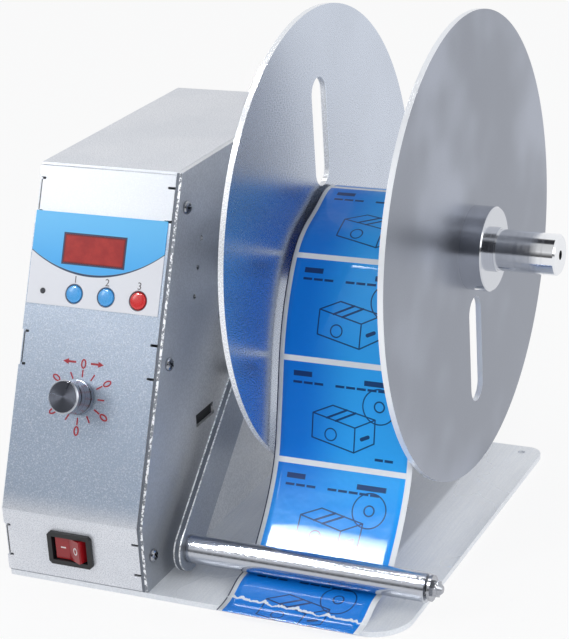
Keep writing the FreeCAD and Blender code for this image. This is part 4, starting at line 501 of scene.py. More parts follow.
def base_metal():
    """Pale rolled steel plate with faint brushing and soft stains, and a painted shade darkening it where the labels
    run.
    """
    material, tree, shader, position = finish("base_metal")
    lines = placed(tree, BRUSHING, {"Position": position, "Stretch": (1, 0.03, 1), "Line": 0.7})["Streaks"]
    flecks = placed(tree, GRAIN, {"Position": position, "Grain": 0.8})
    patches = placed(tree, PATCHES, {"Position": position, "Size": 60.0})["Patches"]
    base = blend_colour(tree, lines, srgb(232, 236, 242), srgb(240, 243, 247))
    base = blend_colour(tree, between(tree, flecks["Flecks"], 0.0, 1.0, 0.1, 0.0), base, srgb(150, 157, 167))
    base = blend_colour(tree, between(tree, patches, 0.0, 1.0, 0.2, 0.0), base, srgb(186, 192, 202))
    place = add(tree, "ShaderNodeSeparateXYZ", {0: position}).outputs
    # Painted shade: a darker zone up to x 78 mm, stronger towards the right.
    painted_shade_zone = maths(tree, "MULTIPLY", between(tree, place["X"], 0.0765, 0.0795, 1.0, 0.0), between(tree, place["Y"], -0.075, -0.045))
    share = between(tree, place["X"], 0.0, 0.05, 0.05, 0.45)
    base = blend_colour(tree, maths(tree, "MULTIPLY", painted_shade_zone, share), base, srgb(112, 119, 131))
    rough = between(tree, patches, 0.0, 1.0, 0.26, 0.36)
    metal = between(tree, place["Y"], -0.085, -0.07, 0.05, 0.32)
    feed(tree, shader, Base_Color=base, Roughness=rough, Metallic=metal, Normal=bumped(tree, flecks["Height"], 0.008))
    return material


TAB_REACHES = ((-25, -9), (76.5, 94), (157.5, 175))
ARM_SIDES = (-19.5, -15.5)
OVERLAY_CURVE = (37.5, 195.1, 69.4)
BUTTON_ACROSS, BUTTON_ALONG = (29, 48, 67), 116


def overlay_film():
    """Printed film: a blue field with a curved dark lower border over a white one, and a dark window frame."""
    material, tree, shader, position = finish("overlay_film", Roughness=0.3, Coat_Weight=0.25, Coat_Roughness=0.15)
    spot = placed(tree, PANEL_PLACE, {"Position": position})
    across, along, radius = OVERLAY_CURVE
    point = add(tree, "ShaderNodeCombineXYZ", {"X": spot["Across"], "Y": spot["Along"]}).outputs[0]
    reach = vector_maths(tree, "LENGTH", vector_maths(tree, "SUBTRACT", point, (across, along, 0)))
    aside = maths(tree, "ABSOLUTE", maths(tree, "SUBTRACT", spot["Across"], across))
    width = between(tree, aside, 0.0, 42.0, 1.15, 0.4)
    beyond = maths(tree, "SUBTRACT", reach, radius - 1)
    field = between(tree, beyond, -0.1, 0.1, 1.0, 0.0)
    line = maths(tree, "MULTIPLY", between(tree, beyond, -0.1, 0.1), between(tree, maths(tree, "SUBTRACT", beyond, width), -0.1, 0.1, 1.0, 0.0))
    blue = blend_colour(tree, between(tree, spot["Along"], 126.0, 158.0), srgb(66, 172, 240), srgb(96, 190, 246))
    base = blend_colour(tree, field, srgb(226, 228, 235), blue)
    base = blend_colour(tree, line, base, srgb(24, 58, 92))
    side = maths(tree, "ABSOLUTE", maths(tree, "SUBTRACT", spot["Across"], 38.0))
    height = maths(tree, "ABSOLUTE", maths(tree, "SUBTRACT", spot["Along"], 139.4))
    box = maths(tree, "MAXIMUM", maths(tree, "SUBTRACT", side, 18.9), maths(tree, "SUBTRACT", height, 8.4))
    base = blend_colour(tree, between(tree, box, -0.08, 0.08, 1.0, 0.0), base, srgb(38, 52, 92))
    # Painted shade: a dark ring on the film round each button.
    for button in BUTTON_ACROSS:
        gap = vector_maths(tree, "LENGTH", vector_maths(tree, "SUBTRACT", point, (button, BUTTON_ALONG, 0)))
        ring = between(tree, gap, 5.25, 5.5, 1.0, 0.0)
        base = blend_colour(tree, maths(tree, "MULTIPLY", ring, 0.8), base, srgb(50, 62, 84))
    skin = placed(tree, GRAIN, {"Position": position, "Grain": 2.2})
    feed(tree, shader, Base_Color=base, Normal=bumped(tree, skin["Height"], 0.02))
    return material


def red_window():
    """Red acrylic over the display, with faint clouds and flecks, darker towards its rim."""
    material, tree, shader, position = finish("red_window", Roughness=0.3, Specular_IOR_Level=0.35)
    spot = placed(tree, PANEL_PLACE, {"Position": position})
    cloud = placed(tree, PATCHES, {"Position": position, "Size": 6.0})["Patches"]
    flecks = placed(tree, GRAIN, {"Position": position, "Grain": 0.9})["Flecks"]
    side = maths(tree, "ABSOLUTE", maths(tree, "SUBTRACT", spot["Across"], 38.0))
    height = maths(tree, "ABSOLUTE", maths(tree, "SUBTRACT", spot["Along"], 139.4))
    rim = maths(tree, "MAXIMUM", maths(tree, "SUBTRACT", side, 18.0), maths(tree, "SUBTRACT", height, 7.5))
    base = blend_colour(tree, cloud, srgb(158, 34, 34), srgb(176, 46, 42))
    base = blend_colour(tree, between(tree, flecks, 0.0, 1.0, 0.12, 0.0), base, srgb(110, 30, 34))
    base = blend_colour(tree, between(tree, rim, -1.1, -0.2, 0.0, 0.75), base, srgb(84, 26, 38))
    feed(tree, shader, Base_Color=base, Normal=bumped(tree, flecks, 0.01))
    return material


def label_film():
    """The printed web: its own UV map holds mm across and mm along it. Its blue carries painted shade, and a painted
    glint crosses its front run.
    """
    material, tree, shader, position = finish(
        "label_film", Roughness=0.4, Coat_Weight=0.42, Coat_Roughness=0.03, Specular_IOR_Level=0.15,
    )
    uv = add(tree, "ShaderNodeUVMap", None, uv_map="web_mm").outputs[0]
    where = add(tree, "ShaderNodeSeparateXYZ", {0: uv}).outputs
    # Painted shade: the blue is darker towards the web's left edge, in the inner disc's shadow, plain lower down and a
    # little darker again on the front run.
    blue = blend_colour(tree, between(tree, where["X"], 12.0, 48.0), srgb(6, 122, 226), srgb(48, 172, 254))
    blue = blend_colour(tree, between(tree, where["Y"], 190.0, 230.0), blue, srgb(24, 156, 252))
    blue = blend_colour(tree, between(tree, where["Y"], 250.0, 262.0), blue, srgb(16, 128, 226))
    print_out = placed(tree, LABEL_PRINT, {"Across": where["X"], "Along": where["Y"], "Blue": blue})
    waves = add(tree, "ShaderNodeTexNoise", {"Vector": uv, "Scale": 0.09, "Detail": 2.0}).outputs["Fac"]
    place = add(tree, "ShaderNodeSeparateXYZ", {0: position}).outputs
    # Painted glint: a jagged white line across the front run where the film bends towards the front edge.
    sideways = add(tree, "ShaderNodeCombineXYZ", {"X": place["X"]}).outputs[0]
    jag = add(tree, "ShaderNodeTexNoise", {"Vector": sideways, "Scale": 160.0, "Detail": 3.0}).outputs["Fac"]
    glint_line = maths(tree, "ADD", maths(tree, "MULTIPLY", place["X"], -0.04), maths(tree, "MULTIPLY", jag, 0.009))
    from_glint_line = maths(tree, "ABSOLUTE", maths(tree, "SUBTRACT", place["Y"], maths(tree, "SUBTRACT", glint_line, 0.1095)))
    thick = between(tree, jag, 0.35, 0.65, 0.0004, 0.0011)
    painted_glint = between(tree, maths(tree, "SUBTRACT", from_glint_line, thick), -0.0002, 0.0002, 0.9, 0.0)
    colour = blend_colour(tree, painted_glint, print_out["Colour"], srgb(244, 250, 255))
    feed(tree, shader, Base_Color=colour, Normal=bumped(tree, waves, 0.9))
    return material


def wound_labels():
    """The roll: print on its round face and the fine layers of the wound web on its ends."""
    material, tree, shader, position = finish("wound_labels", Roughness=0.4, Coat_Weight=0.3, Coat_Roughness=0.12)
    about = placed(tree, TURNED, {"Position": position, "Centre": Vector((0, *SPINDLE)) * MM, "Axis": (1, 0, 0), "Ring": 0.35})
    across = maths(tree, "SUBTRACT", about["Along"], 14.5)
    around = maths(tree, "MULTIPLY", about["Angle"], 26.5)
    print_out = placed(tree, LABEL_PRINT, {"Across": across, "Along": around})
    flat = add(tree, "ShaderNodeTexCoord").outputs["Normal"]
    sideways = maths(tree, "ABSOLUTE", add(tree, "ShaderNodeSeparateXYZ", {0: flat}).outputs["X"])
    layers = blend_colour(tree, about["Rings"], srgb(170, 196, 224), srgb(240, 243, 247))
    base = blend_colour(tree, between(tree, sideways, 0.4, 0.6), print_out["Colour"], layers)
    feed(tree, shader, Base_Color=base, Normal=bumped(tree, about["Rings"], 0.02, about["Normal"]))
    return material


def knob_metal():
    """Turned aluminium knob: its face has the bright fan of fine lathe rings, and is painted darker than its side."""
    place = slope_point(*KNOB_PLACE)
    material, tree, shader, position = finish("knob_metal", Metallic=1.0, Roughness=0.26, Anisotropic=0.85)
    about = placed(tree, TURNED, {
        "Position": position, "Centre": place * MM, "Axis": SLOPE_OUT, "Zero": SLOPE_UP, "Ring": 0.3,
    })
    base = blend_colour(tree, about["Rings"], srgb(140, 144, 153), srgb(196, 200, 208))
    flat = add(tree, "ShaderNodeTexCoord").outputs["Normal"]
    # Painted reflection of dark surroundings: the face is darker than the side.
    face = between(tree, vector_maths(tree, "DOT_PRODUCT", flat, SLOPE_OUT), 0.8, 0.95)
    base = blend_colour(tree, face, base, srgb(92, 96, 106))
    offset = vector_maths(tree, "SUBTRACT", position, place * MM)
    around = vector_maths(tree, "CROSS_PRODUCT", SLOPE_OUT, offset)
    tangent = add(
        tree, "ShaderNodeVectorTransform", {"Vector": vector_maths(tree, "NORMALIZE", around)},
        vector_type="VECTOR", convert_from="OBJECT", convert_to="WORLD",
    ).outputs[0]
    feed(tree, shader, Base_Color=base, Tangent=tangent, Normal=bumped(tree, about["Rings"], 0.002, about["Normal"]))
    return material


def plain_print(name, colour, roughness=0.5):
    """Screen-printed ink with a faint uneven edge of tone."""
    material, tree, shader, position = finish(name, Roughness=roughness)
    tone = placed(tree, GRAIN, {"Position": position, "Grain": 0.7})["Flecks"]
    low = tuple(c * 0.8 for c in colour[:3]) + (1,)
    feed(tree, shader, Base_Color=blend_colour(tree, tone, low, colour))
    return material


def card():
    """Wound card: thin layers on its ends."""
    material, tree, shader, position = finish("core_card", Roughness=0.8)
    about = placed(tree, TURNED, {"Position": position, "Centre": Vector((0, *SPINDLE)) * MM, "Ring": 0.3})
    base = blend_colour(tree, about["Rings"], srgb(176, 142, 102), srgb(206, 176, 136))
    feed(tree, shader, Base_Color=base, Normal=bumped(tree, about["Rings"], 0.05, about["Normal"]))
    return material


def circuit():
    """Solder mask with a faint pattern of tracks."""
    material, tree, shader, position = finish("circuit_mask", Roughness=0.35, Coat_Weight=0.3, Coat_Roughness=0.2)
    lines = placed(tree, BRUSHING, {"Position": position, "Stretch": (0.08, 1, 1), "Line": 2.2})["Streaks"]
    base = blend_colour(tree, between(tree, lines, 0.45, 0.55), srgb(20, 84, 48), srgb(34, 112, 66))
    feed(tree, shader, Base_Color=base, Normal=bumped(tree, lines, 0.03))
    return material


def disc_metal(name, colour, cloud, roughness):
    """Satin disc with soft handling marks and a bright cut edge, partly bare metal and partly a painted highlight."""
    return sheet_metal(
        name, colour, roughness, grain=0.7, contrast=0.04, cloud=cloud, metallic=0.92, depth=0.0015, edge=srgb(238, 241, 246),
    )


ZINC = sheet_metal("zinc_plate", srgb(168, 171, 178), 0.22, grain=0.6, contrast=0.08)
DARK_STEEL = sheet_metal("black_oxide", srgb(58, 60, 66), 0.4, grain=0.5)
SPINDLE_STEEL = turned_metal("polished_shaft", srgb(236, 238, 242), 0.13, SPINDLE, ring=2.0, contrast=0.03, depth=0.0002)
BLUE_BUTTON = moulded("blue_button", srgb(76, 166, 234), 0.26, coat=0.4)
FINISHES = {
    "base_plate": base_metal(),
    "side_plate": side_plate_metal(),
    "box_cover front_panel": panel_coat(),
    "base_screws inner_disc_screws outer_disc_screws potentiometer potentiometer_nut dial_shaft bracket_posts"
    " arm_pivot_screw arm_pivot_nut roller_washer axle_nut": ZINC,
    "inner_set_screw outer_set_screw gear_retaining_ring": DARK_STEEL,
    "control_overlay": overlay_film(),
    "display_window": red_window(),
    "display_module switch_frame arm_sensor mains_inlet": moulded("dark_plastic", srgb(26, 27, 30), 0.42),
    "control_board power_supply": circuit(),
    "board_standoffs arm_bush": sheet_metal("turned_brass", srgb(214, 180, 104), 0.3, grain=0.5),
    "drive_pinion": turned_metal("pinion_brass", srgb(218, 184, 108), 0.28, (SPINDLE[0], 118)),
    "indicator_led": moulded("lamp_lens", srgb(58, 60, 68), 0.12, coat=0.6),
    "button_1 button_2": BLUE_BUTTON,
    "button_3": moulded("red_button", srgb(216, 42, 44), 0.26, coat=0.4),
    "speed_knob": knob_metal(),
    "switch_rocker": moulded("red_rocker", srgb(146, 20, 28), 0.2, coat=0.2),
    "bearing_housing spindle_bearings drive_gear": turned_metal("turned_steel", srgb(168, 171, 178), 0.3, SPINDLE),
    "spindle_shaft": SPINDLE_STEEL,
    "inner_disc": disc_metal("inner_disc_metal", srgb(204, 212, 226), 0.05, 0.27),
    "outer_disc": disc_metal("outer_disc_metal", srgb(164, 170, 184), 0.3, 0.32),
    "inner_hub outer_hub": turned_metal("hub_metal", srgb(206, 209, 216), 0.15, SPINDLE, ring=0.5, contrast=0.06, depth=0.0008),
    "core_tube": card(),
    "label_roll": wound_labels(),
    "gear_motor motor_shaft": turned_metal("motor_steel", srgb(158, 161, 168), 0.34, (SPINDLE[0], 118)),
    "motor_bracket": sheet_metal("bracket_steel", srgb(150, 154, 162), 0.36),
    "swing_arm": arm_metal(),
    "arm_pivot_pin arm_stop_pins": sheet_metal("pin_steel", srgb(176, 179, 186), 0.24, grain=0.5, contrast=0.05),
    "roller_tube": turned_metal("roller_chrome", srgb(188, 192, 201), 0.2, ROLLER, ring=2.5, contrast=0.03, depth=0.0002),
    "roller_bearings roller_axle": turned_metal("roller_steel", srgb(168, 171, 178), 0.26, ROLLER),
}
for names, material in FINISHES.items():
    for name in names.split():
        nodes[name].data.materials.clear()
        nodes[name].data.materials.append(material)


# Mesh tools
def mesh_piece(name, vertices, faces, material=None):
    mesh = bpy.data.meshes.new(name)
    mesh.from_pydata([tuple(v) for v in vertices], [], faces)
    if material:
        mesh.materials.append(material)
    piece = bpy.data.objects.new(name, mesh)
    scene.collection.objects.link(piece)
    return piece


def outward(piece):
    """Merges doubles and points every face outwards."""
    shape = bmesh.new()
    shape.from_mesh(piece.data)
    bmesh.ops.remove_doubles(shape, verts=shape.verts, dist=1e-7)
    bmesh.ops.recalc_face_normals(shape, faces=shape.faces)
    shape.to_mesh(piece.data)
    shape.free()
    return piece


def settled(piece):
    """The piece with its modifiers turned into plain mesh."""
    bpy.context.view_layer.update()
    graph = bpy.context.evaluated_depsgraph_get()
    mesh = bpy.data.meshes.new_from_object(piece.evaluated_get(graph), depsgraph=graph)
    piece.modifiers.clear()
    if piece.type == "MESH":
        piece.data = mesh
        return piece
    name = piece.name
    bpy.data.objects.remove(piece)
    flat = bpy.data.objects.new(name, mesh)
    scene.collection.objects.link(flat)
    return flat


def lathe(name, outline, steps, material):
    """A body turned about Z from (radius, height) pairs that start and end on the axis."""
    vertices, faces, rows = [], [], []
    for radius, height in outline:
        if radius == 0:
            rows.append([len(vertices)] * steps)
            vertices.append((0, 0, height))
            continue
        rows.append([len(vertices) + i for i in range(steps)])
        for i in range(steps):
            angle = math.tau * i / steps
            vertices.append((radius * math.cos(angle), radius * math.sin(angle), height))
    for low, high in zip(rows, rows[1:]):
        for i in range(steps):
            corners = [low[i], low[(i + 1) % steps], high[(i + 1) % steps], high[i]]
            faces.append(tuple(dict.fromkeys(corners)))
    return outward(mesh_piece(name, vertices, faces, material))


def smooth_by_angle(piece, degrees):
    """Smooth shading, with the edges sharper than the angle kept crisp."""
    shape = bmesh.new()
    shape.from_mesh(piece.data)
    for face in shape.faces:
        face.smooth = True
    for edge in shape.edges:
        edge.smooth = edge.is_manifold and edge.calc_face_angle() < math.radians(degrees)
    shape.to_mesh(piece.data)
    shape.free()


def pan_screw(name, head_radius, head_height, shank_radius, shank_length, material):
    """A pan head screw along Z with a cross recess. Its head sits on z 0, in metres."""
    curve = [
        (head_radius * share, head_height * rise)
        for share, rise in ((0.94, 0), (1, 0.16), (0.98, 0.45), (0.86, 0.74), (0.62, 0.93), (0.3, 1.0))
    ]
    outline = [(0, -shank_length), (shank_radius * 0.7, -shank_length), (shank_radius, -shank_length + 0.6), (shank_radius, 0)]
    outline = [(r * MM, h * MM) for r, h in outline + curve + [(0, head_height * 1.02)]]
    screw = lathe(name, outline, 28, material)
    slot, deep, wide = head_radius * 0.62, head_height * 0.7, head_radius * 0.3
    tools = []
    for turn in (0, math.pi / 2):
        box = mesh_piece("recess", *block_mesh(slot * 2, wide, deep * 2))
        box.data.transform(Matrix.Translation((0, 0, head_height * MM)) @ Matrix.Rotation(turn, 4, "Z"))
        tools.append(box)
    for tool in tools:
        cut = screw.modifiers.new("recess", "BOOLEAN")
        cut.operation, cut.solver, cut.object = "DIFFERENCE", "EXACT", tool
    settled(screw)
    for tool in tools:
        bpy.data.objects.remove(tool)
    return screw


def block_mesh(length, width, height):
    """Corners and faces of a box about the origin, from mm to metres."""
    half = [side * MM / 2 for side in (length, width, height)]
    corners = [(x * half[0], y * half[1], z * half[2]) for x in (-1, 1) for y in (-1, 1) for z in (-1, 1)]
    faces = [(0, 1, 3, 2), (4, 6, 7, 5), (0, 4, 5, 1), (2, 3, 7, 6), (0, 2, 6, 4), (1, 5, 7, 3)]
    return corners, faces


def geometry_tree(name, inputs):
    tree = bpy.data.node_groups.new(name, "GeometryNodeTree")
    tree.interface.new_socket("Geometry", in_out="INPUT", socket_type="NodeSocketGeometry")
    sockets = {}
    for label, kind in inputs:
        sockets[label] = tree.interface.new_socket(label, in_out="INPUT", socket_type="NodeSocket" + kind).identifier
    tree.interface.new_socket("Geometry", in_out="OUTPUT", socket_type="NodeSocketGeometry")
    return tree, tree.nodes.new("NodeGroupInput").outputs, tree.nodes.new("NodeGroupOutput").inputs, sockets


def make_screw_tree():
    """Sets the same screw on every point, along the point's facing, each turned by its own chance angle."""
    tree, given, out, sockets = geometry_tree("screws_on_points", [("Screw", "Object"), ("Seed", "Int"), ("Finish", "Material")])
    screw = add(tree, "GeometryNodeObjectInfo", {"Object": given["Screw"]}, transform_space="ORIGINAL")
    facing = add(tree, "GeometryNodeInputNamedAttribute", {"Name": "facing"}, data_type="FLOAT_VECTOR").outputs["Attribute"]
    upright = add(tree, "FunctionNodeAlignRotationToVector", {"Vector": facing}, axis="Z")
    chance = add(tree, "FunctionNodeRandomValue", {"Seed": given["Seed"]}, data_type="FLOAT")
    chance.inputs[3].default_value = math.tau
    spin = add(tree, "FunctionNodeAxisAngleToRotation", {"Axis": (0, 0, 1), "Angle": chance.outputs[1]})
    turned = add(
        tree, "FunctionNodeRotateRotation",
        {"Rotation": upright.outputs[0], "Rotate By": spin.outputs[0]}, rotation_space="LOCAL",
    )
    placed_screws = add(tree, "GeometryNodeInstanceOnPoints", {
        "Points": given["Geometry"], "Instance": screw.outputs["Geometry"], "Rotation": turned.outputs[0],
    })
    real = add(tree, "GeometryNodeRealizeInstances", {"Geometry": placed_screws.outputs[0]})
    coated = add(tree, "GeometryNodeSetMaterial", {"Geometry": real.outputs[0], "Material": given["Finish"]})
    tree.links.new(coated.outputs[0], out["Geometry"])
    return tree, sockets


def make_dial_tree():
    """Repeats a flat piece on a circle, its own Y pointing outwards."""
    tree, given, out, sockets = geometry_tree(
        "marks_round_dial", [("Mark", "Object"), ("Count", "Int"), ("Radius", "Float"), ("Turn", "Float"), ("Finish", "Material")]
    )
    mark = add(tree, "GeometryNodeObjectInfo", {"Object": given["Mark"]}, transform_space="ORIGINAL")
    circle = add(tree, "GeometryNodeMeshCircle", {"Vertices": given["Count"], "Radius": given["Radius"]})
    angle = add(tree, "ShaderNodeCombineXYZ", {"Z": given["Turn"]})
    turned = add(tree, "GeometryNodeTransform", {"Geometry": circle.outputs[0]})
    rotation = add(tree, "FunctionNodeEulerToRotation", {"Euler": angle.outputs[0]})
    tree.links.new(rotation.outputs[0], turned.inputs["Rotation"])
    place = add(tree, "GeometryNodeInputPosition").outputs[0]
    outwards = add(tree, "FunctionNodeAlignRotationToVector", {"Vector": place}, axis="Y", pivot_axis="Z")
    repeated = add(tree, "GeometryNodeInstanceOnPoints", {
        "Points": turned.outputs[0], "Instance": mark.outputs["Geometry"], "Rotation": outwards.outputs[0],
    })
    real = add(tree, "GeometryNodeRealizeInstances", {"Geometry": repeated.outputs[0]})
    coated = add(tree, "GeometryNodeSetMaterial", {"Geometry": real.outputs[0], "Material": given["Finish"]})
    tree.links.new(coated.outputs[0], out["Geometry"])
    return tree, sockets


def grown(piece, tree, sockets, **values):
    """Runs a geometry tree on the piece with its inputs set, and keeps the result as plain mesh."""
    modifier = piece.modifiers.new("nodes", "NODES")
    modifier.node_group = tree
    for label, value in values.items():
        modifier[sockets[label]] = value
    return settled(piece)


# Screws: each row is (x, y, z, side) of the face that the head sits on, in mm
PANEL_SPOTS = [(-40.308, 188.518), (-72.589, 114.229), (-106, 21)]
PLATE_FACE, WALL_FACE, MOTOR_FACE, BRACKET_FACE, HOUSING_FACE = -27.5, -111.5, -53.0, -50.5, -21.5
SCREW_TREE, SCREW_SOCKETS = make_screw_tree()


def screw_set(name, node, body, spots, screw, seed):
    base = mesh_piece(name, [Vector(spot[:3]) * MM for spot in spots], [])
    facing = base.data.attributes.new("facing", "FLOAT_VECTOR", "POINT")
    facing.data.foreach_set("vector", [value for spot in spots for value in (spot[3], 0, 0)])
    grown(base, SCREW_TREE, SCREW_SOCKETS, Screw=screw, Seed=seed, Finish=ZINC)
    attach(base, body)
    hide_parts(node)


SHEET_SCREW = pan_screw("sheet_screw", 3.6, 2.4, 2, 9, ZINC)
screw_set(
    "panel_screw_set", "panel_screws", "chassis",
    [(PLATE_FACE, y, z, 1) for y, z in PANEL_SPOTS] + [(WALL_FACE, y, z, -1) for y, z in PANEL_SPOTS], SHEET_SCREW, 4,
)
screw_set(
    "cover_screw_set", "cover_screws", "chassis",
    [(PLATE_FACE, 63, 200.8, 1), (PLATE_FACE, 107.8, 63, 1), (PLATE_FACE, 107.8, 163, 1)], SHEET_SCREW, 9,
)
bpy.data.objects.remove(SHEET_SCREW)

# Printed marks on the slope and its controls
RED_INK = plain_print("red_ink", srgb(168, 16, 40))
GREY_INK = plain_print("grey_ink", srgb(96, 92, 98))
WHITE_INK = plain_print("white_ink", srgb(236, 226, 226))


def flat_ring(name, half_width, half_height, stroke, steps=36):
    vertices = []
    for i in range(steps):
        angle = math.tau * i / steps
        for inset in (0, stroke):
            vertices.append(((half_width - inset) * math.cos(angle), (half_height - inset) * math.sin(angle), 0))
    faces = [(2 * i, (2 * i + 2) % (2 * steps), (2 * i + 3) % (2 * steps), 2 * i + 1) for i in range(steps)]
    return mesh_piece(name, vertices, faces)


def flat_bar(name, width, length):
    x, y = width / 2, length / 2
    return mesh_piece(name, [(-x, -y, 0), (x, -y, 0), (x, y, 0), (-x, y, 0)], [(0, 1, 2, 3)])


def flat_arrow(name, length, head, stroke):
    """An arrow along +X from its tail at the origin."""
    neck, half = length - head, stroke / 2
    outline = [(0, -half), (neck, -half), (neck, -head * 0.46), (length, 0), (neck, head * 0.46), (neck, half), (0, half)]
    return mesh_piece(name, [(x, y, 0) for x, y in outline], [(0, 1, 5, 6), (1, 2, 3), (1, 3, 5), (3, 4, 5)])


def joined(name, pieces):
    """One mesh out of several flat ones, each placed by its own object matrix."""
    shape = bmesh.new()
    for piece in pieces:
        copy = piece.data.copy()
        copy.transform(piece.matrix_world)
        shape.from_mesh(copy)
        bpy.data.meshes.remove(copy)
        bpy.data.objects.remove(piece)
    mesh = bpy.data.meshes.new(name)
    shape.to_mesh(mesh)
    shape.free()
    whole = bpy.data.objects.new(name, mesh)
    scene.collection.objects.link(whole)
    return whole


def thick_print(piece, matrix, body, ink, thickness=0.05):
    """Gives flat artwork in mm its ink and thickness, sets it in place and fixes it to its body."""
    shape = bmesh.new()
    shape.from_mesh(piece.data)
    bmesh.ops.remove_doubles(shape, verts=shape.verts, dist=1e-5)
    for face in shape.faces:
        if face.normal.z < 0:
            face.normal_flip()
    grown_faces = bmesh.ops.extrude_face_region(shape, geom=list(shape.faces))["geom"]
    for part in grown_faces:
        if isinstance(part, bmesh.types.BMVert):
            part.co.z += thickness
    bmesh.ops.recalc_face_normals(shape, faces=shape.faces)
    shape.to_mesh(piece.data)
    shape.free()
    piece.data.materials.clear()
    piece.data.materials.append(ink)
    piece.data.transform(matrix)
    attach(piece, body)
    return piece


DIAL_TREE, DIAL_SOCKETS = make_dial_tree()
tick_mark = flat_bar("tick_mark", 0.8, 3.9)
zero_mark = flat_ring("zero_mark", 1.6, 2.6, 0.85)
ticks = grown(flat_bar("dial_ticks", 0, 0), DIAL_TREE, DIAL_SOCKETS, Mark=tick_mark, Count=12, Radius=12.5, Turn=0.0, Finish=RED_INK)
zeros = grown(
    flat_bar("dial_zeros", 0, 0), DIAL_TREE, DIAL_SOCKETS,
    Mark=zero_mark, Count=6, Radius=17.5, Turn=math.radians(30), Finish=RED_INK,
)
for mark in (tick_mark, zero_mark):
    bpy.data.objects.remove(mark)
for piece in (ticks, zeros):
    thick_print(piece, slope_frame(*KNOB_PLACE, PRINT_LIFT), "chassis", RED_INK)
for name, tail, turn in (("arrow_left", -4.6, math.pi), ("arrow_right", 4.2, 0)):
    arrow = flat_arrow(name, 7.8, 3.4, 1.1)
    arrow.data.transform(Matrix.Translation((tail, 18, 0)) @ Matrix.Rotation(turn, 4, "Z"))
    thick_print(arrow, slope_frame(*KNOB_PLACE, PRINT_LIFT), "chassis", RED_INK)

for number, across in enumerate(BUTTON_ACROSS, 1):
    curve = bpy.data.curves.new(f"key_number_{number}", "FONT")
    curve.body, curve.size, curve.align_x = str(number), 5.4, "CENTER"
    text = bpy.data.objects.new(curve.name, curve)
    scene.collection.objects.link(text)
    text = settled(text)
    thick_print(text, slope_frame(across, 121.8, 0.52), "chassis", GREY_INK, 0.04)


CAP_OUTLINE = [
    (0, -10), (1.6, -10), (1.6, -2.7), (5.8, -2.7), (5.8, -1.5), (4.5, -1.5), (4.5, 0.55), (4.42, 0.95), (4.2, 1.28),
    (3.8, 1.52), (3.1, 1.7), (2.1, 1.82), (1.0, 1.88), (0, 1.9),
]
for number, across in enumerate(BUTTON_ACROSS, 1):
    colour = FINISHES["button_3" if number == 3 else "button_1 button_2"]
    cap = lathe(f"button_cap_{number}", CAP_OUTLINE, 48, colour)
    cap.data.transform(slope_frame(across, BUTTON_ALONG))
    smooth_by_angle(cap, 35)
    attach(cap, f"key_{number}")
    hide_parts(f"button_{number}")


def on_rocker(name, pieces, matrix):
    """Lays flat artwork, drawn as seen from the front, onto the rocker's faces."""
    art = joined(name, pieces)
    art.data.transform(matrix)
    rocker = nodes["switch_rocker"].data
    corners = [v.co.copy() for v in rocker.vertices]
    tree = BVHTree.FromPolygons(corners, [tuple(p.vertices) for p in rocker.polygons])
    shape = bmesh.new()
    shape.from_mesh(art.data)
    bmesh.ops.remove_doubles(shape, verts=shape.verts, dist=1e-7)
    grown_faces = bmesh.ops.extrude_face_region(shape, geom=list(shape.faces))["geom"]
    lifted = {part for part in grown_faces if isinstance(part, bmesh.types.BMVert)}
    for vertex in shape.verts:
        hit = tree.ray_cast(Vector((vertex.co.x, -0.2, vertex.co.z)), Vector((0, 1, 0)))[0]
        vertex.co.y = hit.y - (0.09 if vertex in lifted else 0.03) * MM
    bmesh.ops.recalc_face_normals(shape, faces=shape.faces)
    shape.to_mesh(art.data)
    shape.free()
    art.data.materials.append(WHITE_INK)
    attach(art, "rocker")


ROCKER_PLACE = Vector((-71.3, 0, 21.3))
stand_up = Matrix.Translation(ROCKER_PLACE * MM) @ Matrix.Rotation(math.pi / 2, 4, "X") @ Matrix.Scale(MM, 4)
dash = flat_bar("rocker_dash", 3.0, 0.8)
dash.matrix_world = Matrix.Translation((-4.4, 0.4, 0))
circle_mark = flat_ring("rocker_circle", 1.5, 2.1, 0.6)
circle_mark.matrix_world = Matrix.Translation((3.9, 0.2, 0))
bpy.context.view_layer.update()
on_rocker("rocker_marks", [dash, circle_mark], stand_up)

# Label web, from the roll under the roller to the front edge
WEB_ROLL_RADIUS = 27
WEB_ROLL_ANGLES = (20, 44, 68, 90, 100)
WEB_FROM_SPINDLE = (
    (-17.2, 21.6), (-34.6, 14.8), (-47, 5.8), (-56.5, -7), (-64.5, -22), (-71, -40), (-76.5, -62), (-81, -80),
)
WEB_FROM_ROLLER = ((44, 38), (36.5, 24.5), (26.5, 11.5), (17, 1.5), (8.5, -5.6), (1, -8.05))
WEB_LAST_RUN = ((0.22, 0.12), (0.45, 0.52), (0.66, 0.9), (0.82, 1), (1, 1))
WEB_FRONT, WEB_FLOOR = -118.5, 3.4
WEB_START, WEB_THICKNESS = 14.5, 0.3
ROLLER_BOTTOM_SHARE = 258 / 292.7


def web_points():
    points = [
        (SPINDLE[0] + WEB_ROLL_RADIUS * math.cos(math.radians(a)), SPINDLE[1] + WEB_ROLL_RADIUS * math.sin(math.radians(a)))
        for a in WEB_ROLL_ANGLES
    ]
    points += [(SPINDLE[0] + dy, SPINDLE[1] + dz) for dy, dz in WEB_FROM_SPINDLE]
    points += [(ROLLER[0] + dy, ROLLER[1] + dz) for dy, dz in WEB_FROM_ROLLER]
    reach, bottom = ROLLER[0] - WEB_FRONT, ROLLER[1] - 8
    points += [(ROLLER[0] - reach * share, bottom - (bottom - WEB_FLOOR) * drop) for share, drop in WEB_LAST_RUN]
    return np.array(points)


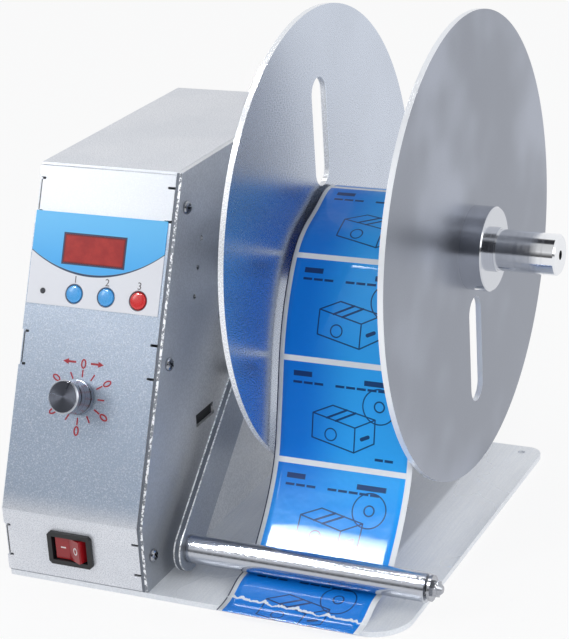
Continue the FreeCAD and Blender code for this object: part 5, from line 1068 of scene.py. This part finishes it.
def smooth_line(points, step):
    """A natural cubic spline through the points, sampled at even steps, with the distance gone at each sample."""
    gone = np.concatenate([[0], np.cumsum(np.linalg.norm(np.diff(points, axis=0), axis=1))])
    count, gaps = len(points), np.diff(gone)
    system, right = np.eye(count), np.zeros((count, 2))
    for i in range(1, count - 1):
        system[i, i - 1:i + 2] = gaps[i - 1], 2 * (gaps[i - 1] + gaps[i]), gaps[i]
        right[i] = 6 * ((points[i + 1] - points[i]) / gaps[i] - (points[i] - points[i - 1]) / gaps[i - 1])
    bend = np.linalg.solve(system, right)
    samples = np.linspace(0, gone[-1], int(gone[-1] / step) + 1)
    seat = np.clip(np.searchsorted(gone, samples, side="right") - 1, 0, count - 2)
    width = gaps[seat][:, None]
    ahead, behind = (gone[seat + 1] - samples)[:, None], (samples - gone[seat])[:, None]
    line = (
        bend[seat] * ahead ** 3 / (6 * width) + bend[seat + 1] * behind ** 3 / (6 * width)
        + (points[seat] / width - bend[seat] * width / 6) * ahead
        + (points[seat + 1] / width - bend[seat + 1] * width / 6) * behind
    )
    return line, samples


def web_strip(name, line, gone, columns, material):
    """A closed thin strip along the line, with mm across and along it as its UV map."""
    tangent = np.gradient(line, axis=0)
    tangent /= np.linalg.norm(tangent, axis=1)[:, None]
    normal = np.stack([tangent[:, 1], -tangent[:, 0]], axis=1)
    half, rows = WEB_THICKNESS / 2, len(line)
    vertices, marks = [], []
    for side in (-1, 1):
        for (y, z), (ny, nz), along in zip(line, normal, gone):
            for column in range(columns + 1):
                across = WEB_WIDTH * column / columns
                vertices.append(((WEB_START + across) * MM, (y + side * half * ny) * MM, (z + side * half * nz) * MM))
                marks.append((across, along))
    wide, sheet = columns + 1, rows * (columns + 1)
    faces = []
    for row in range(rows - 1):
        for column in range(columns):
            corner = row * wide + column
            face = (corner, corner + 1, corner + wide + 1, corner + wide)
            faces += [face, tuple(v + sheet for v in reversed(face))]
        for column in (0, columns):
            corner = row * wide + column
            faces.append((corner, corner + wide, corner + wide + sheet, corner + sheet))
    for row in (0, rows - 1):
        for column in range(columns):
            corner = row * wide + column
            faces.append((corner, corner + 1, corner + 1 + sheet, corner + sheet))
    piece = mesh_piece(name, vertices, faces, material)
    layer = piece.data.uv_layers.new(name="web_mm")
    for loop in piece.data.loops:
        layer.data[loop.index].uv = marks[loop.vertex_index]
    shape = bmesh.new()
    shape.from_mesh(piece.data)
    bmesh.ops.recalc_face_normals(shape, faces=shape.faces)
    shape.to_mesh(piece.data)
    shape.free()
    for face in piece.data.polygons:
        face.use_smooth = abs(face.normal.x) < 0.5 and face.area > 0.4 * MM ** 2
    return piece


LABEL_FILM = label_film()
web_line, web_gone = smooth_line(web_points(), 1.5)
turn_row = int(len(web_line) * ROLLER_BOTTOM_SHARE)
upper_web = web_strip("upper_web", web_line[:turn_row + 1], web_gone[:turn_row + 1], 12, LABEL_FILM)
front_web = web_strip("front_web", web_line[turn_row:], web_gone[turn_row:], 12, LABEL_FILM)


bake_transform(upper_web)
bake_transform(front_web)
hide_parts("label_web")
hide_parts("label_web")


# Floor, light and camera
def emitter_floor():
    """White to the eye and in reflections, with the object's shadow kept."""
    material = bpy.data.materials.new("studio_floor")
    material.use_nodes = True
    tree = material.node_tree
    tree.nodes.remove(tree.nodes["Principled BSDF"])
    matt = add(tree, "ShaderNodeBsdfDiffuse", {"Color": (0.92, 0.92, 0.93, 1)})
    white = add(tree, "ShaderNodeEmission", {"Color": (1, 1, 1, 1), "Strength": 1.0})
    seen = seen_directly(tree)
    share = maths(tree, "MULTIPLY", seen, 0.86)
    mixed = add(tree, "ShaderNodeMixShader", {0: share, 1: matt.outputs[0], 2: white.outputs[0]})
    tree.links.new(mixed.outputs[0], tree.nodes["Material Output"].inputs["Surface"])
    return material


def seen_directly(tree):
    path = add(tree, "ShaderNodeLightPath").outputs
    direct = maths(tree, "ADD", path["Is Camera Ray"], path["Is Glossy Ray"])
    return maths(tree, "ADD", direct, path["Is Transmission Ray"], clamp=True)


floor = mesh_piece("studio_floor", [(-4, -4, 0), (4, -4, 0), (4, 4, 0), (-4, 4, 0)], [(0, 1, 2, 3)], emitter_floor())
floor.location.z = -0.0002

world = bpy.data.worlds.new("studio")
scene.world = world
world.use_nodes = True
sky = world.node_tree
sky.nodes.clear()
level = add(sky, "ShaderNodeBackground", {"Color": (0.97, 0.985, 1, 1), "Strength": 0.66})
way = add(sky, "ShaderNodeSeparateXYZ", {0: add(sky, "ShaderNodeTexCoord").outputs["Generated"]}).outputs
studio_wall = add(sky, "ShaderNodeValToRGB", {"Fac": way["Z"]})
studio_wall.color_ramp.interpolation = "EASE"
for place, shade in ((0.1, 0.1), (0.2, 0.26), (0.34, 0.6), (0.42, 0.95), (0.62, 0.75), (0.9, 0.7)):
    studio_wall.color_ramp.elements.new(place).color = (shade, shade, shade, 1)
studio_wall.color_ramp.elements[0].color = (0.1, 0.1, 0.1, 1)
above_floor = between(sky, way["Z"], -0.03, 0.0)
front_side = between(sky, way["Y"], -0.35, 0.1, 1.0, 0.0)
wall_share = maths(sky, "MULTIPLY", above_floor, front_side)
glossy = add(sky, "ShaderNodeLightPath").outputs["Is Glossy Ray"]
direction = add(sky, "ShaderNodeTexCoord").outputs["Generated"]
behind_camera = between(sky, vector_maths(sky, "DOT_PRODUCT", direction, (0.41, -0.84, 0.36)), 0.72, 0.88)
overhead = maths(sky, "MULTIPLY", between(sky, way["Z"], 0.9, 0.94), between(sky, way["Z"], 0.98, 0.995, 1.0, 0.0))
dark_cards = maths(sky, "MULTIPLY", maths(sky, "MAXIMUM", behind_camera, overhead), glossy)
wall_tone = blend_colour(sky, maths(sky, "MULTIPLY", wall_share, glossy), (1, 1, 1, 1), studio_wall.outputs[0])
wall_tone = blend_colour(sky, maths(sky, "MULTIPLY", dark_cards, above_floor), wall_tone, (0.04, 0.04, 0.045, 1))
white_world = add(sky, "ShaderNodeBackground", {"Color": wall_tone, "Strength": 1.0})
world_mix = add(sky, "ShaderNodeMixShader", {0: seen_directly(sky), 1: level.outputs[0], 2: white_world.outputs[0]})
sky.links.new(world_mix.outputs[0], add(sky, "ShaderNodeOutputWorld").inputs["Surface"])


def lamp(name, place, target, power, width, height=None, spread=math.pi, lights=True, mirrored=True):
    """A soft box aimed at a spot. A narrow spread keeps its mirror image near that spot; one that doesn't light
    matt surfaces is seen only as that image, and one that isn't mirrored only lights them."""
    light = bpy.data.lights.new(name, "AREA")
    light.shape, light.size, light.size_y = "RECTANGLE", width, height or width
    light.energy, light.spread = power, spread
    item = bpy.data.objects.new(name, light)
    item.location = place
    item.visible_diffuse, item.visible_glossy = lights, mirrored
    item.rotation_euler = (Vector(target) - Vector(place)).to_track_quat("-Z", "Y").to_euler()
    scene.collection.objects.link(item)
    return item


lamp("key", (-0.95, -1.0, 0.85), (-0.03, -0.03, 0.1), 2, 0.3)
lamp("front", (0.5, -1.5, 0.7), (-0.02, -0.03, 0.1), 3.2, 0.5, mirrored=False)
lamp("fill", (1.3, -0.5, 0.8), (0.0, 0.0, 0.1), 6, 1.0)
lamp("web_glare", (-0.251, -0.425, 0.676), (0.09, -0.085, 0.0), 0.16, 0.34, 0.15, math.radians(16), lights=False)
lamp("front_glare", (-0.415, 0.014, 1.108), (0.053, -0.12, 0.0), 0.05, 0.25, 0.03, math.radians(16), lights=False)

CAMERA_PLACE = Vector((0.45288, -0.90999, 0.50451))
AZIMUTH, ELEVATION, ROLL = (math.radians(a) for a in (26.19, 20.83, -3.69))
ahead = Vector((
    -math.sin(AZIMUTH) * math.cos(ELEVATION), math.cos(AZIMUTH) * math.cos(ELEVATION), -math.sin(ELEVATION),
))
level_right = Vector((math.cos(AZIMUTH), math.sin(AZIMUTH), 0))
level_up = level_right.cross(ahead)
right = level_right * math.cos(ROLL) + level_up * math.sin(ROLL)
up = level_up * math.cos(ROLL) - level_right * math.sin(ROLL)
camera_data = bpy.data.cameras.new("camera")
camera_data.lens, camera_data.sensor_width, camera_data.sensor_fit = 114.10, 36, "AUTO"
camera_data.shift_x, camera_data.shift_y = -0.00066, -0.00953
camera = bpy.data.objects.new("camera", camera_data)
camera.matrix_world = Matrix.Translation(CAMERA_PLACE) @ Matrix((right, up, -ahead)).transposed().to_4x4()
scene.collection.objects.link(camera)
scene.camera = camera
scene.view_settings.view_transform = "Standard"
